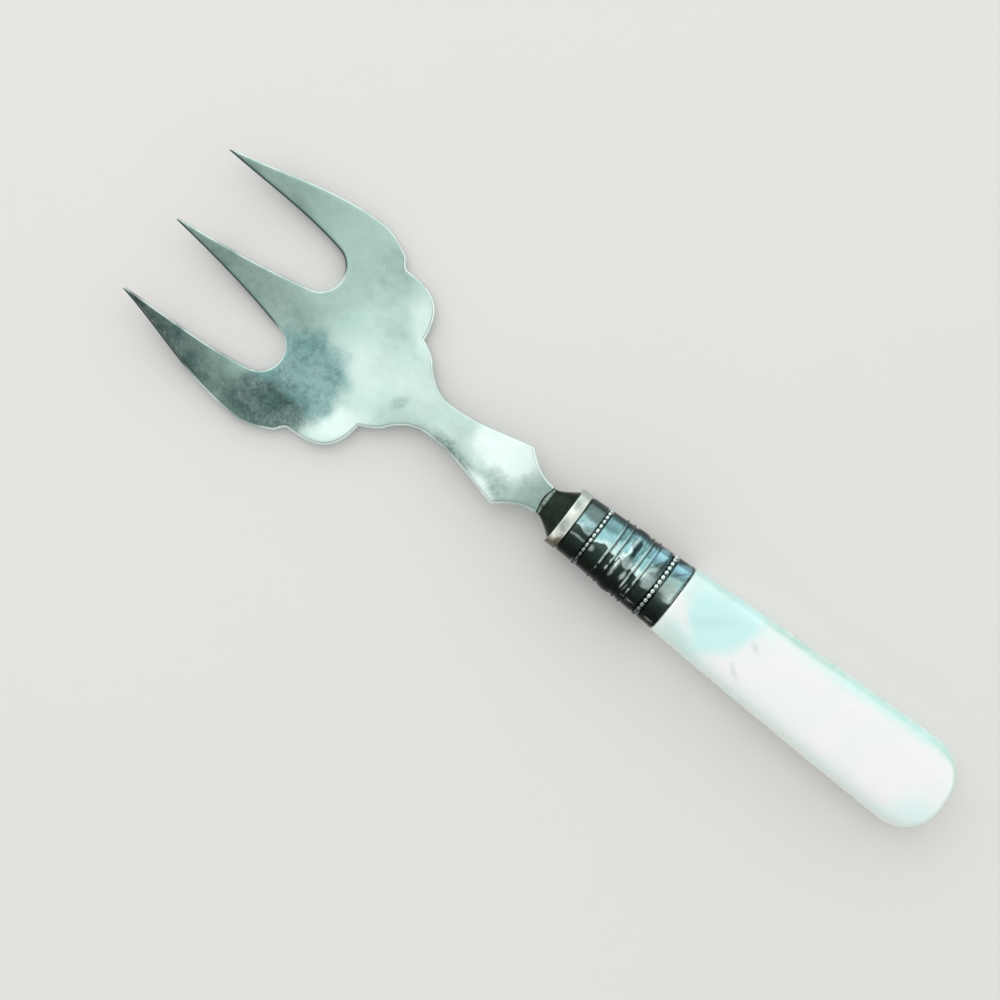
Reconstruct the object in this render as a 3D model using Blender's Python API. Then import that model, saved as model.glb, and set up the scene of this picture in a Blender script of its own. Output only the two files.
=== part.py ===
"""Cold meat fork: a silver-plated three-tine head on a mother-of-pearl handle.

Lengths are in metres. +X runs along the fork to the tine tips and +Z is up. The fork lies face up
on the plane z = 0, with the origin under the middle of its length.

Stations are lengths measured back from the tine tips, and offsets are measured from the centre line.
"""
import math

import bmesh
import bpy
import numpy as np
from mathutils import Vector
from mathutils.geometry import delaunay_2d_cdt, interpolate_bezier

# Fork plate: thickness and the curl of its middle surface
PLATE_THICKNESS = 0.0020
RIM_THICKNESS = 0.0008
EDGE_BEVEL = 0.0006
TIP_THICKNESS = 0.0009
TIP_TAPER_LENGTH = 0.0160
TIP_RISE = 0.0040
BELLY_SETBACK = 0.0030
DISH_DEPTH = 0.0008

# Fork plate: tines and the slots between them
TINE_LENGTH = 0.0327
TIP_WIDTH = 0.0005
OUTER_TIP_OFFSET = 0.0173
SLOT_OFFSET = 0.0100
SLOT_RADIUS = 0.0050

# Fork plate: lengths of the outline from the crest of the shoulder back to the bolster
SHOULDER_LENGTH = 0.0077
STEP_LENGTH = 0.0021
LOBE_LENGTH = 0.0108
SMALL_LOBE_LENGTH = 0.0041
SWEEP_LENGTH = 0.0079
FLARE_LENGTH = 0.0184
TAPER_LENGTH = 0.0080

# Fork plate: widths of the outline at the same places
HEAD_WIDTH = 0.0487
STEP_WIDTH = 0.0435
NOTCH_WIDTH = 0.0396
LOBE_END_WIDTH = 0.0216
SMALL_LOBE_WIDTH = 0.0166
WAIST_WIDTH = 0.0076
DIAMOND_WIDTH = 0.0144
NECK_WIDTH = 0.0065

# Fork plate: headings of the outline in degrees, 0 along the fork and positive away from its centre
MIDDLE_TINE_HEADING = 7.0
MIDDLE_ROOT_HEADING = 14.0
INNER_TINE_HEADING = -3.5
INNER_ROOT_HEADING = -11.0
OUTER_TINE_HEADING = 12.2
SHOULDER_HEADING = -27.0
STEP_HEADING = -62.0
LOBE_HEADING = -84.0
SMALL_LOBE_HEADINGS = (-22.0, -42.0)
SWEEP_HEADING = -54.0
DIAMOND_HEADING = 13.5
TAPER_HEADING = -43.0

# Tang: the tail of the plate, inside the bolster, the collar and the handle
TANG_WIDTH = 0.0044
TANG_END_WIDTH = 0.0028
TANG_EMBED = 0.0400

# Bolster and collar
BOLSTER_LENGTH = 0.00455
BOLSTER_WALL = 0.0007
NOSE_LENGTH = 0.0008
NOSE_CUT = 0.0004
NOSE_BULGE = 0.0005
BOLSTER_REAR_WIDTH = 0.0112
BOLSTER_REAR_HEIGHT = 0.0084
COLLAR_LENGTH = 0.0024
COLLAR_LIP = 0.0001
COLLAR_ROUND = 0.0005

# Ferrule band, its rolled threads and its bead grooves
FERRULE_LENGTH = 0.0242
FERRULE_FRONT_WIDTH = 0.0128
FERRULE_FRONT_HEIGHT = 0.0096
FLOOR_UNDER_GROOVE = 0.0004
HALF_ROUND_LENGTH = 0.0030
HALF_ROUND_RISE = 0.0003
THREAD_LENGTH = 0.0006
THREAD_RISE = 0.00025
THREAD_PITCH = 0.0016
THREADS_EACH_SIDE = 2
REAR_LIP_LENGTH = 0.0005
REAR_LIP_RISE = 0.00012

# Beaded wires
FRONT_BEAD_DIAMETER = 0.0007
FRONT_BEAD_INSET = 0.0042
FRONT_GROOVE_MARGIN = 0.00025
REAR_BEAD_DIAMETER = 0.00095
REAR_BEAD_INSET = 0.0043
REAR_GROOVE_MARGIN = 0.0003
BEAD_PITCH = 0.00115
BEAD_PROUD = 0.0002
BEAD_NECK = 0.55

# Pearl handle
HANDLE_LENGTH = 0.0670
HANDLE_FRONT_WIDTH = 0.0153
HANDLE_END_WIDTH = 0.01975
HANDLE_SWELL = 0.0002
HANDLE_THICKNESS = 0.0105
HANDLE_FLATTENING = 0.0005
HANDLE_END_LENGTH = 0.0092
HANDLE_EDGE_ROUND = 0.0050
HANDLE_FRONT_CHAMFER = 0.0004
PEARL_STEP = 0.00025

# Bore in the handle, and the cement in it
CEMENT_WALL = 0.0010
CEMENT_END = 0.0020

# Clearances: the solder or cement film between two pieces, and the open joint behind the collar
FIT_GAP = 0.0002
COLLAR_JOINT = 0.0003

# Cross-section shapes: 2 is an ellipse, and more is squarer
OVAL = 2.3
PEARL_OVAL = 2.5
PEARL_PLAN = 2.35
SLOT_OVAL = 4.0

# Flare of the bolster: 1 is straight, and more is hollower
BOLSTER_FLARE = 1.3

# Curves of the outline: how full they are, and how many straight steps each one has
FULLNESS = 0.36
LOBE_FULLNESS = 0.5
CURVE_STEPS = 6
LOBE_STEPS = 10
TINE_STEPS = 12

# Mesh density
OVAL_POINTS = 36
BOLSTER_STEPS = 6
COLLAR_STEPS = 3
THREAD_STEPS = 2
HALF_ROUND_STEPS = 4
HANDLE_BODY_STEPS = 5
HANDLE_END_STEPS = 9
FIELD_STEP = 0.0040
BEVEL_SHARE = 0.9
MERGE_DISTANCE = 1e-7
SHARP_ANGLE = 35.0

# Stations worked out from the lengths above
CREST = TINE_LENGTH
STEP = CREST + SHOULDER_LENGTH
NOTCH = STEP + STEP_LENGTH
LOBE_END = NOTCH + LOBE_LENGTH
SMALL_LOBE_END = LOBE_END + SMALL_LOBE_LENGTH
WAIST = SMALL_LOBE_END + SWEEP_LENGTH
DIAMOND = WAIST + FLARE_LENGTH
NECK = DIAMOND + TAPER_LENGTH
BOLSTER_FRONT = NECK + FIT_GAP
COLLAR_FRONT = BOLSTER_FRONT + BOLSTER_LENGTH + FIT_GAP
FERRULE_FRONT = COLLAR_FRONT + COLLAR_LENGTH + COLLAR_JOINT
HANDLE_FRONT = FERRULE_FRONT + FERRULE_LENGTH + FIT_GAP
TOTAL_LENGTH = HANDLE_FRONT + HANDLE_LENGTH
TANG_END = FERRULE_FRONT + TANG_EMBED
BELLY = TINE_LENGTH + BELLY_SETBACK
AXIS_HEIGHT = HANDLE_THICKNESS / 2
TIP_X = TOTAL_LENGTH / 2

# Half sizes of the sections that fit into each other
TANG_HALF = (TANG_WIDTH / 2, PLATE_THICKNESS / 2)
TANG_SLOT_HALF = (TANG_HALF[0] + FIT_GAP, TANG_HALF[1] + FIT_GAP)
CEMENT_HALF = (TANG_SLOT_HALF[0] + CEMENT_WALL, TANG_SLOT_HALF[1] + CEMENT_WALL)
BORE_HALF = (CEMENT_HALF[0] + FIT_GAP, CEMENT_HALF[1] + FIT_GAP)
FERRULE_FRONT_HALF = (FERRULE_FRONT_WIDTH / 2, FERRULE_FRONT_HEIGHT / 2)
FERRULE_REAR_HALF = (HANDLE_FRONT_WIDTH / 2 - PEARL_STEP, HANDLE_THICKNESS / 2 - PEARL_STEP)
FRONT_GROOVE_DEPTH = FRONT_BEAD_DIAMETER + FIT_GAP - BEAD_PROUD
REAR_GROOVE_DEPTH = REAR_BEAD_DIAMETER + FIT_GAP - BEAD_PROUD
FERRULE_WALL = max(FRONT_GROOVE_DEPTH, REAR_GROOVE_DEPTH) + FLOOR_UNDER_GROOVE


def clear_scene():
    for obj in list(bpy.data.objects):
        bpy.data.objects.remove(obj, do_unlink=True)


def finish(name, colour, metallic, roughness):
    """A plain material with the piece's colour and gloss."""
    material = bpy.data.materials.new(name)
    material.use_nodes = True
    shader = material.node_tree.nodes["Principled BSDF"]
    shader.inputs["Base Color"].default_value = (*colour, 1.0)
    shader.inputs["Metallic"].default_value = metallic
    shader.inputs["Roughness"].default_value = roughness
    return material


def add_piece(name, data, station, height, material, parent):
    """Link one sub-part, with its own origin at a station along the fork."""
    data.materials.append(material)
    piece = bpy.data.objects.new(name, data)
    bpy.context.collection.objects.link(piece)
    piece.location = (TIP_X - station, 0.0, height)
    piece.parent = parent
    return piece


def mesh_from(name, bm):
    """Close a bmesh into a mesh, smooth on its round faces and sharp on its corners."""
    bmesh.ops.recalc_face_normals(bm, faces=bm.faces)
    mesh = bpy.data.meshes.new(name)
    bm.to_mesh(mesh)
    bm.free()
    mesh.shade_smooth()
    mesh.set_sharp_from_angle(angle=math.radians(SHARP_ANGLE))
    return mesh


def oval(station, half_width, half_height, squareness, flat=math.inf):
    """One cross-section square to the fork, cut flat above and below at the height flat."""
    ring = []
    for i in range(OVAL_POINTS):
        turn = math.tau * i / OVAL_POINTS
        across = math.copysign(abs(math.cos(turn)) ** (2 / squareness), math.cos(turn))
        up = math.copysign(abs(math.sin(turn)) ** (2 / squareness), math.sin(turn))
        height = max(-flat, min(flat, half_height * up))
        ring.append(Vector((-station, half_width * across, height)))
    return ring


def skin(rings):
    """The side faces of a row of rings, with the loops of vertices that they run between."""
    bm = bmesh.new()
    loops = [[bm.verts.new(point) for point in ring] for ring in rings]
    for near, far in zip(loops, loops[1:]):
        bridge(bm, near, far)
    return bm, loops


def bridge(bm, near, far):
    for i in range(OVAL_POINTS):
        j = (i + 1) % OVAL_POINTS
        bm.faces.new((near[i], near[j], far[j], far[i]))


def tube(name, rings):
    """A ring-shaped piece: the row of rings runs back into its first one."""
    bm, loops = skin(rings)
    bridge(bm, loops[-1], loops[0])
    return mesh_from(name, bm)


def plug(name, rings, end=None):
    """A piece that is closed at both ends, the last one flat or drawn to a point."""
    bm, loops = skin(rings)
    bm.faces.new(loops[0])
    cap = bm.faces.new(loops[-1])
    if end is not None:
        centre = bmesh.ops.poke(bm, faces=[cap])["verts"][0]
        centre.co = end
    return mesh_from(name, bm)


def heading(degrees):
    return Vector((math.cos(math.radians(degrees)), math.sin(math.radians(degrees))))


def swing(start, start_heading, end, end_heading, steps=CURVE_STEPS, fullness=FULLNESS):
    """Points of a curve that leaves start and reaches end at the given headings, without its last point."""
    start, end = Vector(start), Vector(end)
    reach = fullness * (end - start).length
    leave = start + reach * heading(start_heading)
    arrive = end - reach * heading(end_heading)
    points = interpolate_bezier(start, leave, arrive, end, steps + 1)
    return [(point.x, point.y) for point in points[:-1]]


def slot_arc(steps):
    """The round end of the slot, from the middle tine's root to the outer tine's root."""
    first = MIDDLE_ROOT_HEADING - 90
    last = INNER_ROOT_HEADING + 90
    points = []
    for i in range(steps):
        turn = math.radians(first + (last - first) * i / steps)
        station = TINE_LENGTH - SLOT_RADIUS + SLOT_RADIUS * math.cos(turn)
        points.append((station, SLOT_OFFSET + SLOT_RADIUS * math.sin(turn)))
    return points


def slot_root(root_heading, side):
    """Where a straight tine edge meets the round end of its slot."""
    station = TINE_LENGTH - SLOT_RADIUS + SLOT_RADIUS * abs(math.sin(math.radians(root_heading)))
    return station, SLOT_OFFSET + side * SLOT_RADIUS * math.cos(math.radians(root_heading))


def half_outline():
    """The plate's edge on one side, from the middle tine's tip round to the end of the tang."""
    outer_tip = OUTER_TIP_OFFSET - TIP_WIDTH / 2, OUTER_TIP_OFFSET + TIP_WIDTH / 2
    middle_root = slot_root(MIDDLE_ROOT_HEADING, -1)
    inner_root = slot_root(INNER_ROOT_HEADING, 1)
    crest = (CREST, HEAD_WIDTH / 2)
    step = (STEP, STEP_WIDTH / 2)
    notch = (NOTCH, NOTCH_WIDTH / 2)
    lobe_end = (LOBE_END, LOBE_END_WIDTH / 2)
    small_lobe_end = (SMALL_LOBE_END, SMALL_LOBE_WIDTH / 2)
    waist = (WAIST, WAIST_WIDTH / 2)
    diamond = (DIAMOND, DIAMOND_WIDTH / 2)
    neck = (NECK, NECK_WIDTH / 2)
    inner_edge = swing((0, outer_tip[0]), INNER_TINE_HEADING, inner_root, INNER_ROOT_HEADING, TINE_STEPS)
    edge = swing((0, TIP_WIDTH / 2), MIDDLE_TINE_HEADING, middle_root, MIDDLE_ROOT_HEADING, TINE_STEPS)
    edge += slot_arc(LOBE_STEPS)
    edge += [inner_root] + inner_edge[:0:-1] + [(0, outer_tip[0])]
    edge += swing((0, outer_tip[1]), OUTER_TINE_HEADING, crest, 0, TINE_STEPS)
    edge += swing(crest, 0, step, SHOULDER_HEADING)
    edge += swing(step, STEP_HEADING, notch, 0)
    edge += swing(notch, 0, lobe_end, LOBE_HEADING, LOBE_STEPS, LOBE_FULLNESS)
    edge += swing(lobe_end, SMALL_LOBE_HEADINGS[0], small_lobe_end, SMALL_LOBE_HEADINGS[1])
    edge += swing(small_lobe_end, SWEEP_HEADING, waist, 0)
    edge += swing(waist, 0, diamond, DIAMOND_HEADING)
    edge += swing(diamond, TAPER_HEADING, neck, 0)
    edge += [neck, (NECK, TANG_WIDTH / 2), (TANG_END, TANG_END_WIDTH / 2)]
    return edge


def edge_distance(points, edge):
    """How far each point lies from the plate's edge."""
    points = np.array(points)[:, None, :]
    starts = np.array(edge)
    runs = np.roll(starts, -1, axis=0) - starts
    share = ((points - starts) * runs).sum(axis=2) / (runs ** 2).sum(axis=1)
    nearest = starts + np.clip(share, 0, 1)[..., None] * runs
    return np.linalg.norm(points - nearest, axis=2).min(axis=1)


def inside(points, edge):
    """Which points lie within the plate, by the edges that a line from each one crosses."""
    points = np.array(points)[:, None, :]
    starts = np.array(edge)
    ends = np.roll(starts, -1, axis=0)
    spans = (starts[:, 1] > points[..., 1]) != (ends[:, 1] > points[..., 1])
    rise = np.where(starts[:, 1] == ends[:, 1], 1.0, ends[:, 1] - starts[:, 1])
    cross = starts[:, 0] + (points[..., 1] - starts[:, 1]) * (ends[:, 0] - starts[:, 0]) / rise
    return (spans & (points[..., 0] < cross)).sum(axis=1) % 2 == 1


def bevel_points(edge):
    """Points one bevel width in from the edge, or half as far where a tine is too narrow for that."""
    corners = np.array(edge)
    chords = np.roll(corners, -1, axis=0) - np.roll(corners, 1, axis=0)
    inward = np.column_stack((chords[:, 1], -chords[:, 0]))
    inward /= np.linalg.norm(inward, axis=1)[:, None]
    kept = []
    open_corners = np.ones(len(edge), bool)
    for width in (EDGE_BEVEL, EDGE_BEVEL / 2):
        trial = corners + width * inward
        fits = open_corners & (edge_distance(trial, edge) > BEVEL_SHARE * width) & inside(trial, edge)
        kept += [tuple(point) for point in trial[fits]]
        open_corners &= ~fits
    return kept


def field_points(edge):
    """An even field of points over the plate, clear of its bevel, so that it can be bent."""
    rows = np.arange(-math.floor(BELLY / FIELD_STEP), math.ceil(TANG_END / FIELD_STEP))
    columns = np.arange(-math.ceil(HEAD_WIDTH / FIELD_STEP), math.ceil(HEAD_WIDTH / FIELD_STEP) + 1)
    grid = [(BELLY + FIELD_STEP * row, FIELD_STEP * column) for row in rows for column in columns]
    clear = edge_distance(grid, edge) > EDGE_BEVEL + FIELD_STEP / 4
    return [point for point, keep in zip(grid, clear & inside(grid, edge)) if keep]


def plate_height(station, offset):
    """Height of the middle surface: raised tips, the belly on the table, the stem up to the tang."""
    belly = PLATE_THICKNESS / 2
    if station < BELLY:
        lift = TIP_RISE * (1 - station / BELLY) ** 2
    else:
        climb = min(1, (station - BELLY) / (NECK - BELLY))
        lift = (AXIS_HEIGHT - belly) * climb * climb * (3 - 2 * climb)
    fade = max(0, min(1, (WAIST - station) / (WAIST - NOTCH)))
    return belly + lift + DISH_DEPTH * fade * (offset / (HEAD_WIDTH / 2)) ** 2


def tine_share(station):
    """Share of the full thickness that is left where the tines thin down to their tips."""
    tip = TIP_THICKNESS / PLATE_THICKNESS
    return tip + (1 - tip) * math.sin(math.pi / 2 * min(1, station / TIP_TAPER_LENGTH))


def fork_head_mesh():
    """The plate cut to its outline, bevelled to a thinner rim and bent over its length."""
    half = half_outline()
    edge = half + [(station, -offset) for station, offset in reversed(half)]
    rim = len(edge)
    points = edge + bevel_points(edge) + field_points(edge)
    links = [(i, (i + 1) % rim) for i in range(rim)]
    plan = delaunay_2d_cdt([Vector(point) for point in points], links, [], 1, MERGE_DISTANCE)
    flat, _, triangles, sources, _, _ = plan
    spans = edge_distance([tuple(point) for point in flat], edge)
    bm = bmesh.new()
    tops, bottoms = [], []
    for point, span, source in zip(flat, spans, sources):
        on_rim = min(source) < rim
        swell = 0 if on_rim else min(1, span / (BEVEL_SHARE * EDGE_BEVEL))
        half_thickness = (RIM_THICKNESS + swell * (PLATE_THICKNESS - RIM_THICKNESS)) / 2
        half_thickness *= tine_share(point.x)
        middle = plate_height(point.x, point.y)
        tops.append(bm.verts.new((-point.x, point.y, middle + half_thickness)))
        bottoms.append(bm.verts.new((-point.x, point.y, middle - half_thickness)))
    place = {source: i for i, found in enumerate(sources) for source in found}
    for a, b, c in triangles:
        bm.faces.new((tops[a], tops[b], tops[c]))
        bm.faces.new((bottoms[c], bottoms[b], bottoms[a]))
    for first, second in links:
        a, b = place[first], place[second]
        bm.faces.new((tops[a], tops[b], bottoms[b], bottoms[a]))
    return mesh_from("fork_head", bm)


def bulged(ring):
    """A section of the bolster's front, pushed forward over the middle of the tang."""
    reach = TANG_SLOT_HALF[0]
    return [Vector((p.x + NOSE_BULGE * max(0, 1 - (p.y / reach) ** 2), p.y, p.z)) for p in ring]


def bolster_mesh():
    """A bulged nose round the tang that flares in a hollow curve to the collar, slotted for the tang."""
    nose = (TANG_SLOT_HALF[0] + BOLSTER_WALL, TANG_SLOT_HALF[1] + BOLSTER_WALL)
    rear = (BOLSTER_REAR_WIDTH / 2, BOLSTER_REAR_HEIGHT / 2)
    rings = [bulged(oval(0, nose[0] - NOSE_CUT, nose[1] - NOSE_CUT, OVAL))]
    for i in range(BOLSTER_STEPS + 1):
        share = i / BOLSTER_STEPS
        station = NOSE_LENGTH + share * (BOLSTER_LENGTH - NOSE_LENGTH)
        half_width = nose[0] + (rear[0] - nose[0]) * share ** BOLSTER_FLARE
        half_height = nose[1] + (rear[1] - nose[1]) * share ** BOLSTER_FLARE
        rings.append(oval(station, half_width, half_height, OVAL))
    rings.append(oval(BOLSTER_LENGTH, *TANG_SLOT_HALF, SLOT_OVAL))
    rings.append(bulged(oval(0, *TANG_SLOT_HALF, SLOT_OVAL)))
    return tube("bolster", rings)


def collar_mesh():
    """An oval washer with a rounded rim, standing a little proud of the ferrule's mouth."""
    half = (FERRULE_FRONT_HALF[0] + COLLAR_LIP, FERRULE_FRONT_HALF[1] + COLLAR_LIP)
    rings = []
    for i in range(COLLAR_STEPS + 1):
        turn = math.radians(90 * i / COLLAR_STEPS)
        cut = COLLAR_ROUND * (1 - math.sin(turn))
        station = COLLAR_ROUND * (1 - math.cos(turn))
        rings.append(oval(station, half[0] - cut, half[1] - cut, OVAL))
    for ring in reversed(rings[:]):
        rings.append([Vector((-COLLAR_LENGTH - point.x, point.y, point.z)) for point in ring])
    rings.append(oval(COLLAR_LENGTH, *TANG_SLOT_HALF, SLOT_OVAL))
    rings.append(oval(0, *TANG_SLOT_HALF, SLOT_OVAL))
    return tube("bolster_collar", rings)


def ferrule_half(station, rise=0.0):
    """Half width and half height of the ferrule's tapering surface, or of one that stands off it."""
    share = station / FERRULE_LENGTH
    return tuple(f + (r - f) * share + rise for f, r in zip(FERRULE_FRONT_HALF, FERRULE_REAR_HALF))


def bead_stations():
    return FRONT_BEAD_INSET, FERRULE_LENGTH - REAR_BEAD_INSET


def raised_band(middle, length, rise, steps):
    """Profile of a half-round band on the ferrule: stations and how far each stands proud."""
    points = []
    for i in range(steps + 1):
        turn = math.pi * i / steps
        points.append((middle - length / 2 * math.cos(turn), rise * math.sin(turn)))
    return points


def groove(middle, width, depth):
    """Profile of a square groove in the ferrule."""
    front, rear = middle - width / 2, middle + width / 2
    return [(front, 0), (front, -depth), (rear, -depth), (rear, 0)]


def ferrule_profile():
    """The ferrule's outside from front to rear: bead grooves, threads and half-round band, rear lip."""
    front_bead, rear_bead = bead_stations()
    middle = (front_bead + rear_bead) / 2
    front_width = FRONT_BEAD_DIAMETER + 2 * FRONT_GROOVE_MARGIN
    rear_width = REAR_BEAD_DIAMETER + 2 * REAR_GROOVE_MARGIN
    profile = [(0, 0)] + groove(front_bead, front_width, FRONT_GROOVE_DEPTH)
    first_thread = HALF_ROUND_LENGTH / 2 + THREAD_PITCH / 2
    thread_places = [first_thread + THREAD_PITCH * i for i in range(THREADS_EACH_SIDE)]
    for place in reversed(thread_places):
        profile += raised_band(middle - place, THREAD_LENGTH, THREAD_RISE, THREAD_STEPS)
    profile += raised_band(middle, HALF_ROUND_LENGTH, HALF_ROUND_RISE, HALF_ROUND_STEPS)
    for place in thread_places:
        profile += raised_band(middle + place, THREAD_LENGTH, THREAD_RISE, THREAD_STEPS)
    profile += groove(rear_bead, rear_width, REAR_GROOVE_DEPTH)
    profile += [(FERRULE_LENGTH - REAR_LIP_LENGTH, 0), (FERRULE_LENGTH - REAR_LIP_LENGTH, REAR_LIP_RISE)]
    profile += [(FERRULE_LENGTH, REAR_LIP_RISE)]
    return profile


def ferrule_mesh():
    rings = [oval(station, *ferrule_half(station, rise), OVAL) for station, rise in ferrule_profile()]
    for station in (FERRULE_LENGTH, 0):
        rings.append(oval(station, *ferrule_half(station, -FERRULE_WALL), OVAL))
    return tube("ferrule_band", rings)


def bead_wire_curve(name, station, diameter):
    """A wire bent round the ferrule and swelling into beads at an even pitch."""
    wire_rise = BEAD_PROUD - diameter / 2
    track = oval(0, *ferrule_half(station, wire_rise), OVAL)
    corners = np.array([tuple(point) for point in track + track[:1]])
    lengths = np.concatenate(([0], np.cumsum(np.linalg.norm(np.diff(corners, axis=0), axis=1))))
    count = 2 * round(lengths[-1] / BEAD_PITCH)
    curve = bpy.data.curves.new(name, "CURVE")
    curve.dimensions = "3D"
    curve.bevel_depth = diameter / 2
    curve.bevel_resolution = 1
    spline = curve.splines.new("POLY")
    spline.points.add(count - 1)
    spline.use_cyclic_u = True
    for i, point in enumerate(spline.points):
        place = lengths[-1] * i / count
        across, up = (np.interp(place, lengths, corners[:, axis]) for axis in (1, 2))
        point.co = (0, across, up, 1)
        point.radius = BEAD_NECK if i % 2 else 1
    return curve


def handle_ring(station, cut=0.0):
    """One section of the grip: it widens to the rear, and its end closes in plan and in thickness."""
    body = HANDLE_LENGTH - HANDLE_END_LENGTH
    share = min(1, station / body)
    widening = (HANDLE_END_WIDTH - HANDLE_FRONT_WIDTH) / 2
    half_width = HANDLE_FRONT_WIDTH / 2 + widening * share + 4 * HANDLE_SWELL * share * (1 - share)
    past_body = max(0, (station - body) / HANDLE_END_LENGTH)
    past_round = max(0, 1 - (HANDLE_LENGTH - station) / HANDLE_EDGE_ROUND)
    half_width *= (1 - past_body ** PEARL_PLAN) ** (1 / PEARL_PLAN)
    half_height = HANDLE_THICKNESS / 2 + HANDLE_FLATTENING
    half_height *= (1 - past_round ** PEARL_OVAL) ** (1 / PEARL_OVAL)
    return oval(station, half_width - cut, half_height - cut, PEARL_OVAL, HANDLE_THICKNESS / 2 - cut)


def handle_mesh():
    """The grip, its spigot inside the ferrule and the blind bore that takes the tang and its cement."""
    bore_end = TANG_EMBED + CEMENT_END - FERRULE_LENGTH
    mouth = -FERRULE_LENGTH
    inset = -FERRULE_WALL - FIT_GAP
    rings = [oval(bore_end, *BORE_HALF, SLOT_OVAL), oval(mouth, *BORE_HALF, SLOT_OVAL)]
    rings.append(oval(mouth, *ferrule_half(FIT_GAP, inset), OVAL))
    rings.append(oval(0, *ferrule_half(FERRULE_LENGTH, inset), OVAL))
    rings.append(handle_ring(0, HANDLE_FRONT_CHAMFER))
    rings.append(handle_ring(HANDLE_FRONT_CHAMFER))
    body = HANDLE_LENGTH - HANDLE_END_LENGTH
    for i in range(HANDLE_BODY_STEPS):
        rings.append(handle_ring(body * (i + 1) / HANDLE_BODY_STEPS))
    for i in range(1, HANDLE_END_STEPS):
        rings.append(handle_ring(body + HANDLE_END_LENGTH * math.sin(math.pi / 2 * i / HANDLE_END_STEPS)))
    return plug("pearl_handle", rings, Vector((-HANDLE_LENGTH, 0, 0)))


def cement_mesh():
    """A plug of cement that fills the bore, with the blind hole that the tang leaves in it."""
    outer_end = TANG_EMBED + CEMENT_END
    hole_end = TANG_EMBED + FIT_GAP
    rings = [oval(hole_end, *TANG_SLOT_HALF, SLOT_OVAL), oval(FIT_GAP, *TANG_SLOT_HALF, SLOT_OVAL)]
    rings += [oval(FIT_GAP, *CEMENT_HALF, SLOT_OVAL), oval(outer_end, *CEMENT_HALF, SLOT_OVAL)]
    return plug("tang_cement", rings)


def main():
    clear_scene()
    silver = finish("silver_plate", (0.78, 0.84, 0.82), 1.0, 0.22)
    dark_silver = finish("darkened_silver", (0.16, 0.19, 0.17), 1.0, 0.25)
    warm_silver = finish("worn_silver", (0.84, 0.84, 0.77), 1.0, 0.30)
    old_silver = finish("oxidised_silver", (0.50, 0.57, 0.60), 1.0, 0.18)
    bead_silver = finish("bead_silver", (0.80, 0.83, 0.82), 1.0, 0.20)
    pearl = finish("mother_of_pearl", (0.90, 0.94, 0.91), 0.0, 0.18)
    cement = finish("cutlers_cement", (0.24, 0.15, 0.09), 0.0, 0.80)

    fork = bpy.data.objects.new("cold_meat_fork", None)
    bpy.context.collection.objects.link(fork)
    front_bead, rear_bead = bead_stations()
    add_piece("fork_head", fork_head_mesh(), 0, 0, silver, fork)
    add_piece("bolster", bolster_mesh(), BOLSTER_FRONT, AXIS_HEIGHT, dark_silver, fork)
    add_piece("bolster_collar", collar_mesh(), COLLAR_FRONT, AXIS_HEIGHT, warm_silver, fork)
    add_piece("ferrule_band", ferrule_mesh(), FERRULE_FRONT, AXIS_HEIGHT, old_silver, fork)
    front_wire = bead_wire_curve("front_bead_wire", front_bead, FRONT_BEAD_DIAMETER)
    add_piece("front_bead_wire", front_wire, FERRULE_FRONT + front_bead, AXIS_HEIGHT, bead_silver, fork)
    rear_wire = bead_wire_curve("rear_bead_wire", rear_bead, REAR_BEAD_DIAMETER)
    add_piece("rear_bead_wire", rear_wire, FERRULE_FRONT + rear_bead, AXIS_HEIGHT, bead_silver, fork)
    add_piece("pearl_handle", handle_mesh(), HANDLE_FRONT, AXIS_HEIGHT, pearl, fork)
    add_piece("tang_cement", cement_mesh(), FERRULE_FRONT, AXIS_HEIGHT, cement, fork)


main()
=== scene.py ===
"""The finished look of a cold meat fork, laid out as a Blender add-on.

Each operator makes one piece at its real size, in metres, in the place of the plain solid that it
stands for. +X runs along the fork to the tine tips and +Z is up. Stations are lengths measured back
from the tine tips, and offsets are measured from the centre line.
"""
import math

import bmesh
import bpy
import numpy as np
from bpy.props import FloatProperty, FloatVectorProperty, IntProperty, PointerProperty
from bpy.types import Operator, Panel, PropertyGroup
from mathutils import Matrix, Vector
from mathutils.geometry import delaunay_2d_cdt, interpolate_bezier


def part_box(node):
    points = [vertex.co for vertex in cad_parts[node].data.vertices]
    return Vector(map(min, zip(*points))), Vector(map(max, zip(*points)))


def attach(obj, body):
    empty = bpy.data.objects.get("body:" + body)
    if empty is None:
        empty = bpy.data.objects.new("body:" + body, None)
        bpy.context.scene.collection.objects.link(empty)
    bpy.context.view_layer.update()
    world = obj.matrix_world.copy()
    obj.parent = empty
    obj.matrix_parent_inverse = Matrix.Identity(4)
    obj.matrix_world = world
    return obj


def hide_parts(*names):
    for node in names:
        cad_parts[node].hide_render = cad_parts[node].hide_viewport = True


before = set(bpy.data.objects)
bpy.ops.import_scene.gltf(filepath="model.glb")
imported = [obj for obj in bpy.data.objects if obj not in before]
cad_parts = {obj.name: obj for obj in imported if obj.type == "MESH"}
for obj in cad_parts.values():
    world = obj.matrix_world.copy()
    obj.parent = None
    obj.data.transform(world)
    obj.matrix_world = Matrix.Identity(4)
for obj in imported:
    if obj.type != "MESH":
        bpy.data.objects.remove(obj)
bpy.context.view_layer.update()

bl_info = {
    "name": "Cold Meat Fork",
    "version": (1, 0, 0),
    "blender": (4, 5, 0),
    "location": "View3D > Sidebar > Cutlery",
    "description": "A silver-plated serving fork with a beaded ferrule and a mother-of-pearl handle",
    "category": "Add Mesh",
}

BODY = "root"

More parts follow.
